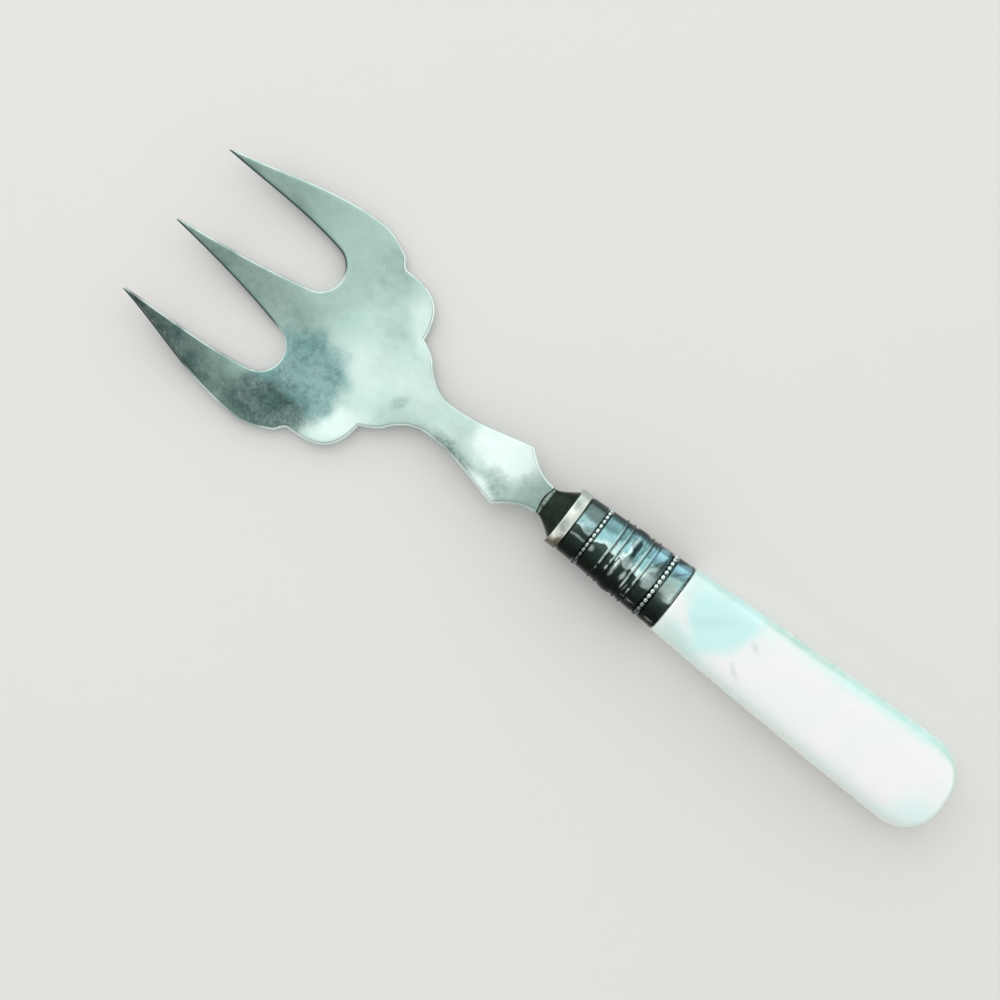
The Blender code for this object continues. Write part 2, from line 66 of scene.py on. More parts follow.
# Places taken from the solids
HEAD_LOW, HEAD_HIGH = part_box("fork_head")
BOLSTER_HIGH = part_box("bolster")[1]
COLLAR_LOW, COLLAR_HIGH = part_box("bolster_collar")
FERRULE_LOW, FERRULE_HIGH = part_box("ferrule_band")
HANDLE_LOW, HANDLE_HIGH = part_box("pearl_handle")
CEMENT_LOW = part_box("tang_cement")[0]
TIP_X = HEAD_HIGH.x
AXIS_HEIGHT = HANDLE_HIGH.z / 2
HEAD_WIDTH = HEAD_HIGH.y - HEAD_LOW.y
FERRULE_LENGTH = FERRULE_HIGH.x - FERRULE_LOW.x

# Outline of the fork plate: lengths from the tips back to the bolster
TINE_LENGTH = 0.0327
SHOULDER_LENGTH = 0.0077
STEP_LENGTH = 0.0021
LOBE_LENGTH = 0.0108
SMALL_LOBE_LENGTH = 0.0041
SWEEP_LENGTH = 0.0079
FLARE_LENGTH = 0.0184
TAPER_LENGTH = 0.0080
CREST = TINE_LENGTH
STEP = CREST + SHOULDER_LENGTH
NOTCH = STEP + STEP_LENGTH
LOBE_END = NOTCH + LOBE_LENGTH
SMALL_LOBE_END = LOBE_END + SMALL_LOBE_LENGTH
WAIST = SMALL_LOBE_END + SWEEP_LENGTH
DIAMOND = WAIST + FLARE_LENGTH
NECK = DIAMOND + TAPER_LENGTH
TANG_END = TIP_X - HEAD_LOW.x

# Outline of the fork plate: widths, slots and tine tips
STEP_WIDTH = 0.0435
NOTCH_WIDTH = 0.0396
LOBE_END_WIDTH = 0.0216
SMALL_LOBE_WIDTH = 0.0166
WAIST_WIDTH = 0.0076
DIAMOND_WIDTH = 0.0144
NECK_WIDTH = 0.0065
TANG_WIDTH = 0.0044
TANG_END_WIDTH = 0.0028
TIP_WIDTH = 0.0005
OUTER_TIP_OFFSET = 0.0173
SLOT_OFFSET = 0.0100
SLOT_RADIUS = 0.0050

# Headings of the outline in degrees, 0 along the fork and positive away from its centre line
MIDDLE_TINE_HEADING = 7.0
MIDDLE_ROOT_HEADING = 14.0
INNER_TINE_HEADING = -3.5
INNER_ROOT_HEADING = -11.0
OUTER_TINE_HEADING = 12.2
SHOULDER_HEADING = -27.0
STEP_HEADING = -62.0
LOBE_HEADING = -84.0
SMALL_LOBE_HEADINGS = (-22.0, -42.0)
SWEEP_HEADING = -54.0
DIAMOND_HEADING = 13.5
TAPER_HEADING = -43.0
FULLNESS = 0.36
LOBE_FULLNESS = 0.5

# Thickness and bend of the fork plate
TIP_THICKNESS = 0.0009
TIP_TAPER_LENGTH = 0.0160
TIP_RISE = 0.0040
BELLY = TINE_LENGTH + 0.0030
DISH_DEPTH = 0.0008

# Fits between the pieces
FIT_GAP = 0.0002
BOLSTER_WALL = 0.0007
NOSE_BULGE = 0.0005
SOLDER_GAP = 0.00002
FERRULE_WALL = 0.00135
COLLAR_LIP = 0.0001
PEARL_STEP = 0.00025
GRIP_FLATTENING = 0.0005
GRIP_FRONT = FERRULE_LOW.x - FIT_GAP
GRIP_LENGTH = GRIP_FRONT - HANDLE_LOW.x
JOINT_DEPTH = 0.00025

# Cross-section shapes: 2 is an ellipse, and more is squarer
OVAL = 2.3
SLOT_OVAL = 4.0
PEARL_OVAL = 2.7
PEARL_PLAN = 2.35
FLATNESS = 9.0

# Flare of the bolster: 1 is straight, and more is hollower
BOLSTER_FLARE = 1.3

# Painted highlights on the bolster: fades of the lit facet on its nose and of the line along its lit
# side, the share of the half width at which that line starts and becomes full, its length and its
# strength
FACET_FADE = 0.0001
SIDE_HIGHLIGHT_FADE = 0.001
SIDE_HIGHLIGHT_START, SIDE_HIGHLIGHT_FULL = 0.90, 0.98
SIDE_HIGHLIGHT_LENGTH = 0.0032
SIDE_HIGHLIGHT = 0.8

# Shares of other sizes: corner cuts of the shorter edge, and the wire of the beads on it
CORNER_SHARE = 0.45
WIRE_SHARE = 0.55

# Mesh density
RING_POINTS = 160
NOSE_STEPS = 8
FLARE_RINGS = 25
RIM_STEPS = 5
COLLAR_STEPS = 7
BAND_STEPS = 20
GRIP_FRONT_STEPS = 6
GRIP_BODY_RINGS = 60
GRIP_END_RINGS = 49
TRACK_POINTS = 720
TRACK_RESOLUTION = 256
BEAD_SEGMENTS, BEAD_RINGS = 16, 10
WIRE_SEGMENTS = 10
POINT_BLOCK = 1000
MERGE_DISTANCE = 1e-7
ROUNDING_TURNS = (25, 45, 62, 77, 90)
ROUNDING_SHARE = 0.96
RIDGE_LENGTH = 0.0060
RIDGE_STEP = 0.00035
SHARP_ANGLE = math.radians(50)
PLAIN_BEND = math.radians(20)

# Stage: the floor's gap and mesh, how many times as long as high its sweep is, the heights and sides
# between which the surround changes, the places of light and camera, and the camera's turn in degrees
# and its nearest distance
FLOOR_GAP = 0.00005
FLOOR_SIDES = 96
SWEEP_ROWS = 6
SWEEP_REACH = 3
SURROUND_SIDES = (-0.5, 0.5)
SURROUND_HEIGHTS = (0.35, 0.95)
KEY_PLACE = (0.34, -0.18, 0.75)
CAMERA_OVER = (0.01065, 0.0054)
CAMERA_TURN = -142.55
CAMERA_CLIP = 0.01


def length(name, default, description):
    """A size that the user can set, in metres."""
    return FloatProperty(
        name=name, description=description, default=default, min=0, unit="LENGTH", precision=5
    )


def colour(name, default, description):
    """A colour that the user can set."""
    return FloatVectorProperty(
        name=name, description=description, default=default, size=3, min=0, max=1, subtype="COLOR"
    )


def share(name, default, description):
    """A part of the whole that the user can set, from 0 to 1."""
    return FloatProperty(
        name=name, description=description, default=default, min=0, max=1, subtype="FACTOR"
    )


class HeadSettings(PropertyGroup):
    """The stamped and polished fork plate."""
    plate_thickness: length("Plate thickness", 0.0020, "Thickness of the plate away from its edges")
    rim_thickness: length("Rim thickness", 0.0007, "Thickness left at the very edge")
    edge_round: length("Edge round", 0.0006, "How far in from the edge the rounding starts")
    edge_step: length("Edge step", 0.00032, "Spacing of the points along the outline")
    field_step: length("Field step", 0.0008, "Spacing of the points over the plate")
    silver: colour("Silver", (0.41, 0.58, 0.52), "Clean silver plate")
    # Grey: painted darker reflection towards the tine tips
    grey: colour("Grey silver", (0.22, 0.34, 0.295), "Dull silver towards the tine tips")
    cloud: colour("Cloud", (0.20, 0.30, 0.26), "Thin grey tarnish over the plate")
    # Bright: silver rubbed bright, also painted highlights on the edges and in patches
    bright: colour("Bright silver", (0.80, 0.93, 0.88), "Silver where it is rubbed bright")
    slate: colour("Slate tarnish", (0.150, 0.310, 0.308), "Blue-grey tarnish on the shoulder")
    # Dusk: tarnish mottling, also painted dark reflection and shade over the tines, the far shoulder and
    # the edges facing away from the light
    dusk: colour("Dark tarnish", (0.048, 0.092, 0.085), "Grey-green tarnish over one tine")
    # Black: painted dark reflection and shade along the lowest tine and the stem's lower edge
    black: colour("Black tarnish", (0.012, 0.024, 0.020), "The darkest tarnish, at one tip")
    roughness: share("Roughness", 0.28, "Roughness of the clean plate")


class BolsterSettings(PropertyGroup):
    """The flared bolster and the collar behind it."""
    nose_length: length("Nose length", 0.0008, "Length of the rounded front of the bolster")
    nose_cut: length("Nose cut", 0.0004, "How much the front is rounded off above and below")
    side_cut: length("Side cut", 0.0001, "How much the front is rounded off at the sides")
    rim_round: length("Rim round", 0.0001, "Rounding of the bolster's rear edge")
    collar_round: length("Collar round", 0.00035, "Rounding of the collar's two edges")
    # Dark: painted dark reflection on the hollow neck, also standing for blackened silver
    dark: colour("Darkened silver", (0.017, 0.026, 0.020), "Oxidised silver on the neck of the bolster")
    # Worn: painted highlight on the nose facet and along the lit side
    worn: colour("Worn nose", (0.25, 0.32, 0.265), "Silver at the rubbed front of the bolster")
    joint_line: length("Joint line", 0.00018, "Width of the dark joint line in front of the facet")
    # Facet length: length of the painted highlight on the nose
    facet_length: length("Facet length", 0.0007, "Length of the rubbed facet on the nose")
    collar_flare: length("Collar flare", 0.0003, "How far the collar's two ends reach forward")
    warm: colour("Collar silver", (0.95, 1.00, 0.91), "Warm worn silver of the collar")
    mottle: colour("Collar mottle", (0.34, 0.44, 0.39), "Grey mottling on the collar")
    brassy: colour("Base metal", (0.105, 0.092, 0.055), "Base metal where the collar is worn through")


class FerruleSettings(PropertyGroup):
    """The reeded ferrule and the two beaded wires in its grooves."""
    front_bead_inset: length("Front bead inset", 0.0042, "Front edge to the front row of beads")
    rear_bead_inset: length("Rear bead inset", 0.0043, "Rear edge to the rear row of beads")
    front_groove: length("Front groove", 0.0012, "Width of the front bead groove")
    rear_groove: length("Rear groove", 0.00155, "Width of the rear bead groove")
    half_round_length: length("Half-round length", 0.0030, "Length of the broad rolled band")
    half_round_rise: length("Half-round rise", 0.0003, "Height of the broad rolled band")
    thread_length: length("Thread length", 0.0006, "Length of one fine rolled thread")
    thread_rise: length("Thread rise", 0.00025, "Height of one fine rolled thread")
    thread_pitch: length("Thread pitch", 0.0016, "Spacing of the fine threads")
    rear_lip_length: length("Rear lip length", 0.0005, "Length of the lip against the handle")
    rear_lip_rise: length("Rear lip rise", 0.00012, "Height of the lip against the handle")
    corner_round: length("Corner round", 0.00007, "Rounding of the corners of the grooves")
    line_width: length("Line width", 0.00028, "Width of the line sunk behind each thread")
    line_depth: length("Line depth", 0.00010, "Depth of the line sunk behind each thread")
    dent_depth: length("Dent depth", 0.00007, "Depth of the shallow dents in the sheet metal")
    dent_size: length("Dent size", 0.0050, "Width of one shallow dent")
    bead_pitch: length("Bead pitch", 0.00115, "Spacing of the beads along both wires")
    dent_seed: IntProperty(
        name="Dent seed", description="Chooses another set of dents", default=4, min=0
    )
    # Patina seed: chooses another ragged edge of the patina and painted dark reflection
    patina_and_reflection_seed: FloatProperty(
        name="Patina seed", description="Chooses another edge of the patina", default=2.0
    )
    # Steel, blue, sky, pale and grey paint the reflection on the lit side of the ferrule, from dark at
    # its edge to pale; bead is a painted highlight on the beads and threads, with some rubbing; murk and
    # patina paint the dark reflection past the middle together with patina, and patina is also the black
    # patina in the recesses
    steel: colour("Dark steel", (0.030, 0.052, 0.052), "Dark tarnish low on the rubbed side")
    blue: colour("Blue silver", (0.15, 0.29, 0.31), "Blue tarnish up the rubbed side")
    sky: colour("Sky silver", (0.27, 0.50, 0.57), "Pale blue patches on the rubbed side")
    pale: colour("Rubbed silver", (0.25, 0.47, 0.48), "Silver on the rubbed side of the ferrule")
    grey: colour("Grey silver", (0.28, 0.36, 0.32), "Half-rubbed silver behind the rear beads")
    bead: colour("Bead silver", (0.74, 0.89, 0.85), "Silver on the crowns of the beads and the threads")
    murk: colour("Murk", (0.050, 0.082, 0.070), "Dark green patina past the middle of the ferrule")
    patina: colour("Patina", (0.010, 0.013, 0.010), "Black patina in the recesses and on the far side")


class HandleSettings(PropertyGroup):
    """The mother-of-pearl grip."""
    front_width: length("Front width", 0.0153, "Width of the grip behind the ferrule")
    swell: length("Swell", 0.0002, "How much the long sides bulge")
    end_length: length("End length", 0.0092, "Length of the rounded end, seen from above")
    edge_round: length("End edge round", 0.0050, "Length of the end's rounding, seen from the side")
    front_round: length("Front round", 0.0004, "Rounding of the grip's front edge")
    spigot_bore: length("Bore wall", 0.0012, "Cement and clearance between the tang and the bore")
    pearl: colour("Pearl", (0.955, 0.975, 0.955), "Clean mother-of-pearl")
    cool: colour("Cool pearl", (0.60, 0.95, 0.92), "Blue-green sheen of the pearl's layers")
    rose: colour("Rose pearl", (0.94, 0.92, 0.89), "Faint rose sheen of the pearl's layers")
    # Side pearl: painted shade along the sides of the grip, in green
    edge: colour("Side pearl", (0.50, 0.73, 0.65), "Green pearl along the sides")
    # Yellow pearl: painted warm reflection low along one side
    rim: colour("Yellow pearl", (0.76, 0.77, 0.60), "Yellow-green pearl low along one side")
    smudge: colour("Smudge", (0.45, 0.58, 0.58), "Grey flaws within the pearl")
    cement: colour("Cement", (0.24, 0.15, 0.09), "Cutler's cement in the bore")


class StageSettings(PropertyGroup):
    """Floor, light and camera."""
    floor: colour("Floor", (0.80, 0.79, 0.77), "Plain pale floor")
    zenith: colour("Zenith", (0.33, 0.33, 0.33), "Surround straight above")
    lit_side: colour("Lit side", (1.00, 1.00, 1.00), "Surround low down on the lit side")
    far_side: colour("Far side", (0.62, 0.62, 0.62), "Surround low down on the far side")
    surround: FloatProperty(name="Surround", description="Strength of the surround", default=1.5, min=0)
    floor_size: length("Floor size", 20.0, "Width of the floor")
    sweep_height: length("Sweep height", 1.0, "How high the far rim of the floor rises")
    key_size: length("Key size", 0.75, "Width of the soft light above the fork")
    key_power: FloatProperty(
        name="Key power", description="Power of the soft light", default=1.6, min=0, unit="POWER"
    )
    camera_height: length("Camera height", 0.350, "Height of the camera above the floor")
    camera_lens: FloatProperty(
        name="Lens", description="Focal length in millimetres", default=62.6, min=1
    )


class ForkSettings(PropertyGroup):
    """All the sizes and finishes of the fork."""
    head: PointerProperty(type=HeadSettings)
    bolster: PointerProperty(type=BolsterSettings)
    ferrule: PointerProperty(type=FerruleSettings)
    handle: PointerProperty(type=HandleSettings)
    stage: PointerProperty(type=StageSettings)


def settings_of(context):
    return context.scene.cold_meat_fork


# Node trees

def add(tree, kind, inputs=None, **settings):
    """A node with its settings made and its sockets linked or filled in."""
    made = tree.nodes.new(kind)
    for name, value in settings.items():
        setattr(made, name, value)
    for socket, value in (inputs or {}).items():
        if isinstance(value, bpy.types.NodeSocket):
            tree.links.new(value, made.inputs[socket])
        else:
            made.inputs[socket].default_value = value
    return made


def sum_up(tree, operation, first, second=0.0, third=0.0, clamp=False):
    """The result of one sum."""
    inputs = {0: first, 1: second, 2: third}
    return add(tree, "ShaderNodeMath", inputs, operation=operation, use_clamp=clamp).outputs[0]


def times(tree, first, second):
    return sum_up(tree, "MULTIPLY", first, second)


def vector_sum(tree, operation, first, second):
    return add(tree, "ShaderNodeVectorMath", {0: first, 1: second}, operation=operation).outputs[0]


def scaled(tree, vector, factor):
    return add(tree, "ShaderNodeVectorMath", {0: vector, "Scale": factor}, operation="SCALE").outputs[0]


def split(tree, vector):
    """The X, Y and Z of a vector."""
    return add(tree, "ShaderNodeSeparateXYZ", {0: vector}).outputs


def position(tree):
    """Where each point of a geometry tree lies."""
    return tree.nodes.new("GeometryNodeInputPosition").outputs[0]


def ramp(tree, value, low, high, to_low=0.0, to_high=1.0):
    """A value eased from one range to another."""
    inputs = {"Value": value, "From Min": low, "From Max": high, "To Min": to_low, "To Max": to_high}
    return add(tree, "ShaderNodeMapRange", inputs, interpolation_type="SMOOTHSTEP").outputs[0]


def opaque(shade):
    """A plain colour with full alpha, or a linked colour as it is."""
    return shade if isinstance(shade, bpy.types.NodeSocket) else tuple(shade) + (1.0,)


def tint(tree, factor, first, second):
    """One colour laid over another by a mask."""
    inputs = {0: factor, 6: opaque(first), 7: opaque(second)}
    return add(tree, "ShaderNodeMix", inputs, data_type="RGBA").outputs[2]


def new_group(name, kind, inputs, outputs):
    """An empty node group with named sockets. Gives the tree, its input sockets and its output node."""
    tree = bpy.data.node_groups.new(name, kind)
    for socket, socket_kind in inputs:
        tree.interface.new_socket(socket, in_out="INPUT", socket_type="NodeSocket" + socket_kind)
    for socket, socket_kind in outputs:
        tree.interface.new_socket(socket, in_out="OUTPUT", socket_type="NodeSocket" + socket_kind)
    return tree, tree.nodes.new("NodeGroupInput").outputs, tree.nodes.new("NodeGroupOutput")


def placed(tree, group, **inputs):
    """A shader group in a material, with its sockets filled in. Gives its mask."""
    made = tree.nodes.new("ShaderNodeGroup")
    made.node_tree = bpy.data.node_groups[group]
    for name, value in inputs.items():
        socket = made.inputs[name.replace("_", " ").title()]
        if isinstance(value, bpy.types.NodeSocket):
            tree.links.new(value, socket)
        else:
            socket.default_value = value
    return made.outputs[0]


def patch_group():
    """A ragged oval patch, turned and placed on the piece, seen from above."""
    sockets = [("Vector", "Vector"), ("Centre", "Vector"), ("Turn", "Float"), ("Half Length", "Float")]
    sockets += [("Half Width", "Float"), ("Softness", "Float"), ("Ragged", "Float")]
    sockets += [("Ragged Size", "Float")]
    tree, given, result = new_group("Stain", "ShaderNodeTree", sockets, [("Mask", "Float")])
    scale = sum_up(tree, "DIVIDE", 1.0, given["Ragged Size"])
    noise = add(tree, "ShaderNodeTexNoise", {"Vector": given["Vector"], "Scale": scale, "Detail": 4.0})
    centred = vector_sum(tree, "SUBTRACT", noise.outputs["Color"], (0.5, 0.5, 0.5))
    warp = scaled(tree, centred, given["Ragged"])
    moved = vector_sum(tree, "SUBTRACT", given["Vector"], given["Centre"])
    moved = vector_sum(tree, "ADD", moved, warp)
    back = times(tree, given["Turn"], -1.0)
    turned = add(tree, "ShaderNodeVectorRotate", {"Vector": moved, "Angle": back}, rotation_type="Z_AXIS")
    parts = split(tree, turned.outputs[0])
    along = sum_up(tree, "DIVIDE", parts["X"], given["Half Length"])
    across = sum_up(tree, "DIVIDE", parts["Y"], given["Half Width"])
    along_squared = times(tree, along, along)
    reach = sum_up(tree, "SQRT", sum_up(tree, "MULTIPLY_ADD", across, across, along_squared))
    inner = sum_up(tree, "SUBTRACT", 1.0, given["Softness"])
    outer = sum_up(tree, "ADD", 1.0, given["Softness"])
    tree.links.new(ramp(tree, reach, inner, outer, 1.0, 0.0), result.inputs[0])


def clouding_group():
    """Cloudy patches of a given size."""
    sockets = [("Vector", "Vector"), ("Size", "Float"), ("Low", "Float"), ("High", "Float")]
    sockets += [("Detail", "Float")]
    tree, given, result = new_group("Clouding", "ShaderNodeTree", sockets, [("Mask", "Float")])
    scale = sum_up(tree, "DIVIDE", 1.0, given["Size"])
    inputs = {"Vector": given["Vector"], "Scale": scale, "Detail": given["Detail"], "Roughness": 0.6}
    noise = add(tree, "ShaderNodeTexNoise", inputs)
    tree.links.new(ramp(tree, noise.outputs[0], given["Low"], given["High"]), result.inputs[0])


def scratches_group():
    """Fine straight scratches that run one way."""
    sockets = [("Vector", "Vector"), ("Turn", "Float"), ("Spacing", "Float"), ("Stretch", "Float")]
    tree, given, result = new_group("Scratches", "ShaderNodeTree", sockets, [("Mask", "Float")])
    inputs = {"Vector": given["Vector"], "Angle": given["Turn"]}
    turned = add(tree, "ShaderNodeVectorRotate", inputs, rotation_type="Z_AXIS").outputs[0]
    shrink = sum_up(tree, "DIVIDE", 1.0, given["Stretch"])
    squeeze = add(tree, "ShaderNodeCombineXYZ", {0: shrink, 1: 1.0, 2: 1.0}).outputs[0]
    drawn = vector_sum(tree, "MULTIPLY", turned, squeeze)
    scale = sum_up(tree, "DIVIDE", 1.0, given["Spacing"])
    noise = add(tree, "ShaderNodeTexNoise", {"Vector": drawn, "Scale": scale, "Detail": 1.0})
    tree.links.new(ramp(tree, noise.outputs[0], 0.62, 0.74), result.inputs[0])


def edge_rub_and_highlight_group():
    """Patchy rubbing and painted highlight along the edges, from a value that is 1 on the very edge."""
    sockets = [("Edge", "Float"), ("Vector", "Vector"), ("Start", "Float"), ("Full", "Float")]
    sockets += [("Patch Size", "Float")]
    tree, given, result = new_group("Edge Wear", "ShaderNodeTree", sockets, [("Mask", "Float")])
    scale = sum_up(tree, "DIVIDE", 1.0, given["Patch Size"])
    noise = add(tree, "ShaderNodeTexNoise", {"Vector": given["Vector"], "Scale": scale, "Detail": 2.0})
    patch = ramp(tree, noise.outputs[0], 0.30, 0.60, 0.35, 1.0)
    edge = ramp(tree, given["Edge"], given["Start"], given["Full"])
    tree.links.new(times(tree, edge, patch), result.inputs[0])


def new_material(name):
    """A material with its tree, its shader and the piece's own coordinates."""
    material = bpy.data.materials.new(name)
    material.use_nodes = True
    tree = material.node_tree
    place = tree.nodes.new("ShaderNodeTexCoord").outputs["Object"]
    return material, tree, tree.nodes["Principled BSDF"], place


def new_metal(name):
    """A material as new_material gives it, of bare metal."""
    material, tree, shader, place = new_material(name)
    shader.inputs["Metallic"].default_value = 1.0
    return material, tree, shader, place


def attribute(tree, name):
    """A value that is stored on the piece's points."""
    return add(tree, "ShaderNodeAttribute", attribute_name=name).outputs["Fac"]


def dress(tree, shader, base, roughness, height=None, depth=0.0):
    """Link colour, roughness and fine relief to the shader."""
    tree.links.new(base, shader.inputs["Base Color"])
    tree.links.new(roughness, shader.inputs["Roughness"])
    if height is not None:
        bump = add(tree, "ShaderNodeBump", {"Height": height, "Strength": 1.0, "Distance": depth})
        tree.links.new(bump.outputs[0], shader.inputs["Normal"])


def crossed_scratches(tree, place, spacing, turns, stretch=28.0):
    """Scratches in several directions, as one mask."""
    mask = 0.0
    for turn in turns:
        angle = math.radians(turn)
        lines = placed(tree, "Scratches", vector=place, turn=angle, spacing=spacing, stretch=stretch)
        mask = sum_up(tree, "MAXIMUM", mask, lines)
    return mask


def patch_mask(tree, place, station, offset, turn, half_length, half_width, softness, ragged, ragged_size):
    """The mask of one ragged patch, placed by its station and its offset."""
    return placed(
        tree, "Stain", vector=place, centre=(TIP_X - station, offset, 0.0), turn=math.radians(turn),
        half_length=half_length, half_width=half_width, softness=softness, ragged=ragged,
        ragged_size=ragged_size,
    )


# Stains and painted light on the silver plate: station, offset, turn in degrees, half length, half width,
# softness, ragged edge, grain, finish and strength. The bright rows are painted highlights, and the dusk
# and black rows painted dark reflections and shade over the tines, the far shoulder and the stem's lower
# edge
PLATE_STAINS_AND_PAINTED_LIGHT = (
    (0.0150, 0.0008, 0, 0.0175, 0.0040, 0.80, 0.0030, 0.0, "cloud", 0.62),
    (0.0230, -0.0195, 5, 0.0140, 0.0050, 0.80, 0.0040, 0.0, "silver", 0.60),
    (0.0408, -0.0198, 40, 0.0055, 0.0036, 0.70, 0.0040, 0.0, "cloud", 0.50),
    (0.0479, 0.0016, 35, 0.0080, 0.0062, 0.80, 0.0050, 0.0, "bright", 0.35),
    (0.0520, -0.0128, 138, 0.0064, 0.0026, 0.60, 0.0025, 0.0, "bright", 0.40),
    (0.0588, -0.0034, 0, 0.0044, 0.0040, 0.70, 0.0025, 0.0, "bright", 0.28),
    (0.0745, 0.0000, 0, 0.0170, 0.0090, 0.50, 0.0040, 0.0, "bright", 0.20),
    (0.0492, 0.0138, 42, 0.0066, 0.0034, 0.70, 0.0025, 0.0, "bright", 0.60),
    (0.0808, -0.0026, 10, 0.0072, 0.0046, 0.40, 0.0050, 0.0, "bright", 0.84),
    (0.0800, 0.0056, -14, 0.0044, 0.0012, 0.60, 0.0014, 0.0, "bright", 0.90),
    (0.0896, 0.0004, 0, 0.0034, 0.0062, 0.25, 0.0050, 0.25, "cloud", 0.40),
    (0.0380, 0.0104, 72, 0.0098, 0.0095, 0.20, 0.0050, 0.15, "slate", 0.88),
    (0.0362, 0.0188, 12, 0.0084, 0.0052, 0.40, 0.0055, 0.20, "dusk", 0.95),
    (0.0108, 0.0196, -11, 0.0205, 0.0054, 0.70, 0.0015, 0.10, "dusk", 0.90),
    (0.0040, 0.0190, -13, 0.0110, 0.0020, 0.70, 0.0010, 0.0, "black", 0.80),
    (0.0110, 0.0214, -13, 0.0120, 0.0015, 0.60, 0.0010, 0.0, "black", 0.75),
    (0.0704, 0.0041, -6, 0.0062, 0.0017, 0.70, 0.0016, 0.40, "black", 0.60),
    (0.0824, 0.0033, -30, 0.0036, 0.0025, 0.50, 0.0045, 0.50, "cloud", 0.55),
    (0.0570, 0.0024, 60, 0.0018, 0.0011, 0.60, 0.0012, 0.40, "cloud", 0.45),
    (0.0176, -0.0177, -11, 0.0030, 0.0010, 0.70, 0.0030, 0.30, "dusk", 0.30),
)
PLATE_RAG_SIZE = 0.004
# Stations between which the plate turns from clean silver to the grey of the tines, a painted darker
# reflection
GREY_START, GREY_FULL = 0.046, 0.010
# Where the edges facing away from the lit side stay dark: along the tines, and less far on the lowest
DARK_EDGE_END = 0.0330
DARK_EDGE_START = 0.0280
DARK_EDGE_LEAN = -0.55


def silver_plate(settings):
    """Polished silver plate with clouds of tarnish, a slate smudge and scratches, rubbed edges brightened
    as painted highlights, painted highlight patches, and painted dark reflections and shade over the
    tines, the far shoulder and the stem.
    """
    material, tree, shader, place = new_metal("tarnished_silver_plate")
    parts = split(tree, place)
    haze = placed(tree, "Clouding", vector=place, size=0.011, low=0.38, high=0.66, detail=4.0)
    spots = placed(tree, "Clouding", vector=place, size=0.0030, low=0.46, high=0.74, detail=4.0)
    speckle = placed(tree, "Clouding", vector=place, size=0.0007, low=0.34, high=0.66, detail=5.0)
    # Painted darker reflection: the plate greys towards the tine tips
    tines = ramp(tree, parts["X"], TIP_X - GREY_START, TIP_X - GREY_FULL)
    base = tint(tree, tines, settings.silver, settings.grey)
    base = tint(tree, times(tree, haze, 0.35), base, settings.cloud)
    base = tint(tree, times(tree, spots, 0.25), base, settings.cloud)
    tarnish = times(tree, haze, 0.3)
    # The bright rows lay painted highlights and the dusk and black rows painted dark reflections and
    # shade; all but the bright and silver rows also count as tarnish
    for *patch, grain, finish, strength in PLATE_STAINS_AND_PAINTED_LIGHT:
        mask = patch_mask(tree, place, *patch, PLATE_RAG_SIZE)
        if grain:
            mask = times(tree, mask, ramp(tree, speckle, 0.0, 1.0, 1.0 - grain, 1.0))
        mask = times(tree, mask, strength)
        if finish not in ("bright", "silver"):
            tarnish = sum_up(tree, "ADD", mask, tarnish)
        base = tint(tree, mask, base, getattr(settings, finish))
    scratches = crossed_scratches(tree, place, 0.00020, (35, 52, -20, 80))
    flecks = crossed_scratches(tree, place, 0.00021, (25, 41, 58), 4.5)
    patches = placed(tree, "Clouding", vector=place, size=0.0060, low=0.40, high=0.62, detail=3.0)
    mottle = placed(tree, "Clouding", vector=place, size=0.0016, low=0.46, high=0.66, detail=5.0)
    mottle = times(tree, mottle, ramp(tree, tarnish, 0.25, 1.0, 0.03, 0.36))
    base = tint(tree, mottle, base, settings.dusk)
    base = tint(tree, times(tree, patches, 0.07), base, settings.bright)
    flecks = times(tree, flecks, patches)
    flecks = times(tree, flecks, ramp(tree, tarnish, 0.0, 1.0, 0.08, 0.18))
    base = tint(tree, times(tree, scratches, 0.05), base, settings.bright)
    base = tint(tree, flecks, base, settings.bright)
    edge = attribute(tree, "edge")
    away = ramp(tree, attribute(tree, "facing"), 0.10, 0.45)
    leaning = sum_up(tree, "MULTIPLY_ADD", parts["Y"], DARK_EDGE_LEAN, parts["X"])
    along_tines = ramp(tree, leaning, TIP_X - DARK_EDGE_END, TIP_X - DARK_EDGE_START)
    shaded = times(tree, away, along_tines)
    # Bright rims: rubbed edges together with painted highlights where the rounded edges catch the light,
    # held back on the edges facing away from it
    wear_and_highlight = placed(tree, "Edge Wear", edge=edge, vector=place, start=0.10, full=0.60, patch_size=0.006)
    wear_and_highlight = times(tree, wear_and_highlight, ramp(tree, shaded, 0.0, 1.0, 1.0, 0.0))
    base = tint(tree, times(tree, wear_and_highlight, 0.85), base, settings.bright)
    # Painted shade: the edges facing away from the lit side are darkened with the dusk colour
    base = tint(tree, times(tree, shaded, ramp(tree, edge, 0.15, 0.70)), base, settings.dusk)
    roughness = sum_up(tree, "MULTIPLY_ADD", tarnish, 0.10, settings.roughness)
    roughness = sum_up(tree, "MULTIPLY_ADD", scratches, 0.06, roughness)
    dress(tree, shader, base, roughness, scratches, -0.000003)
    return material


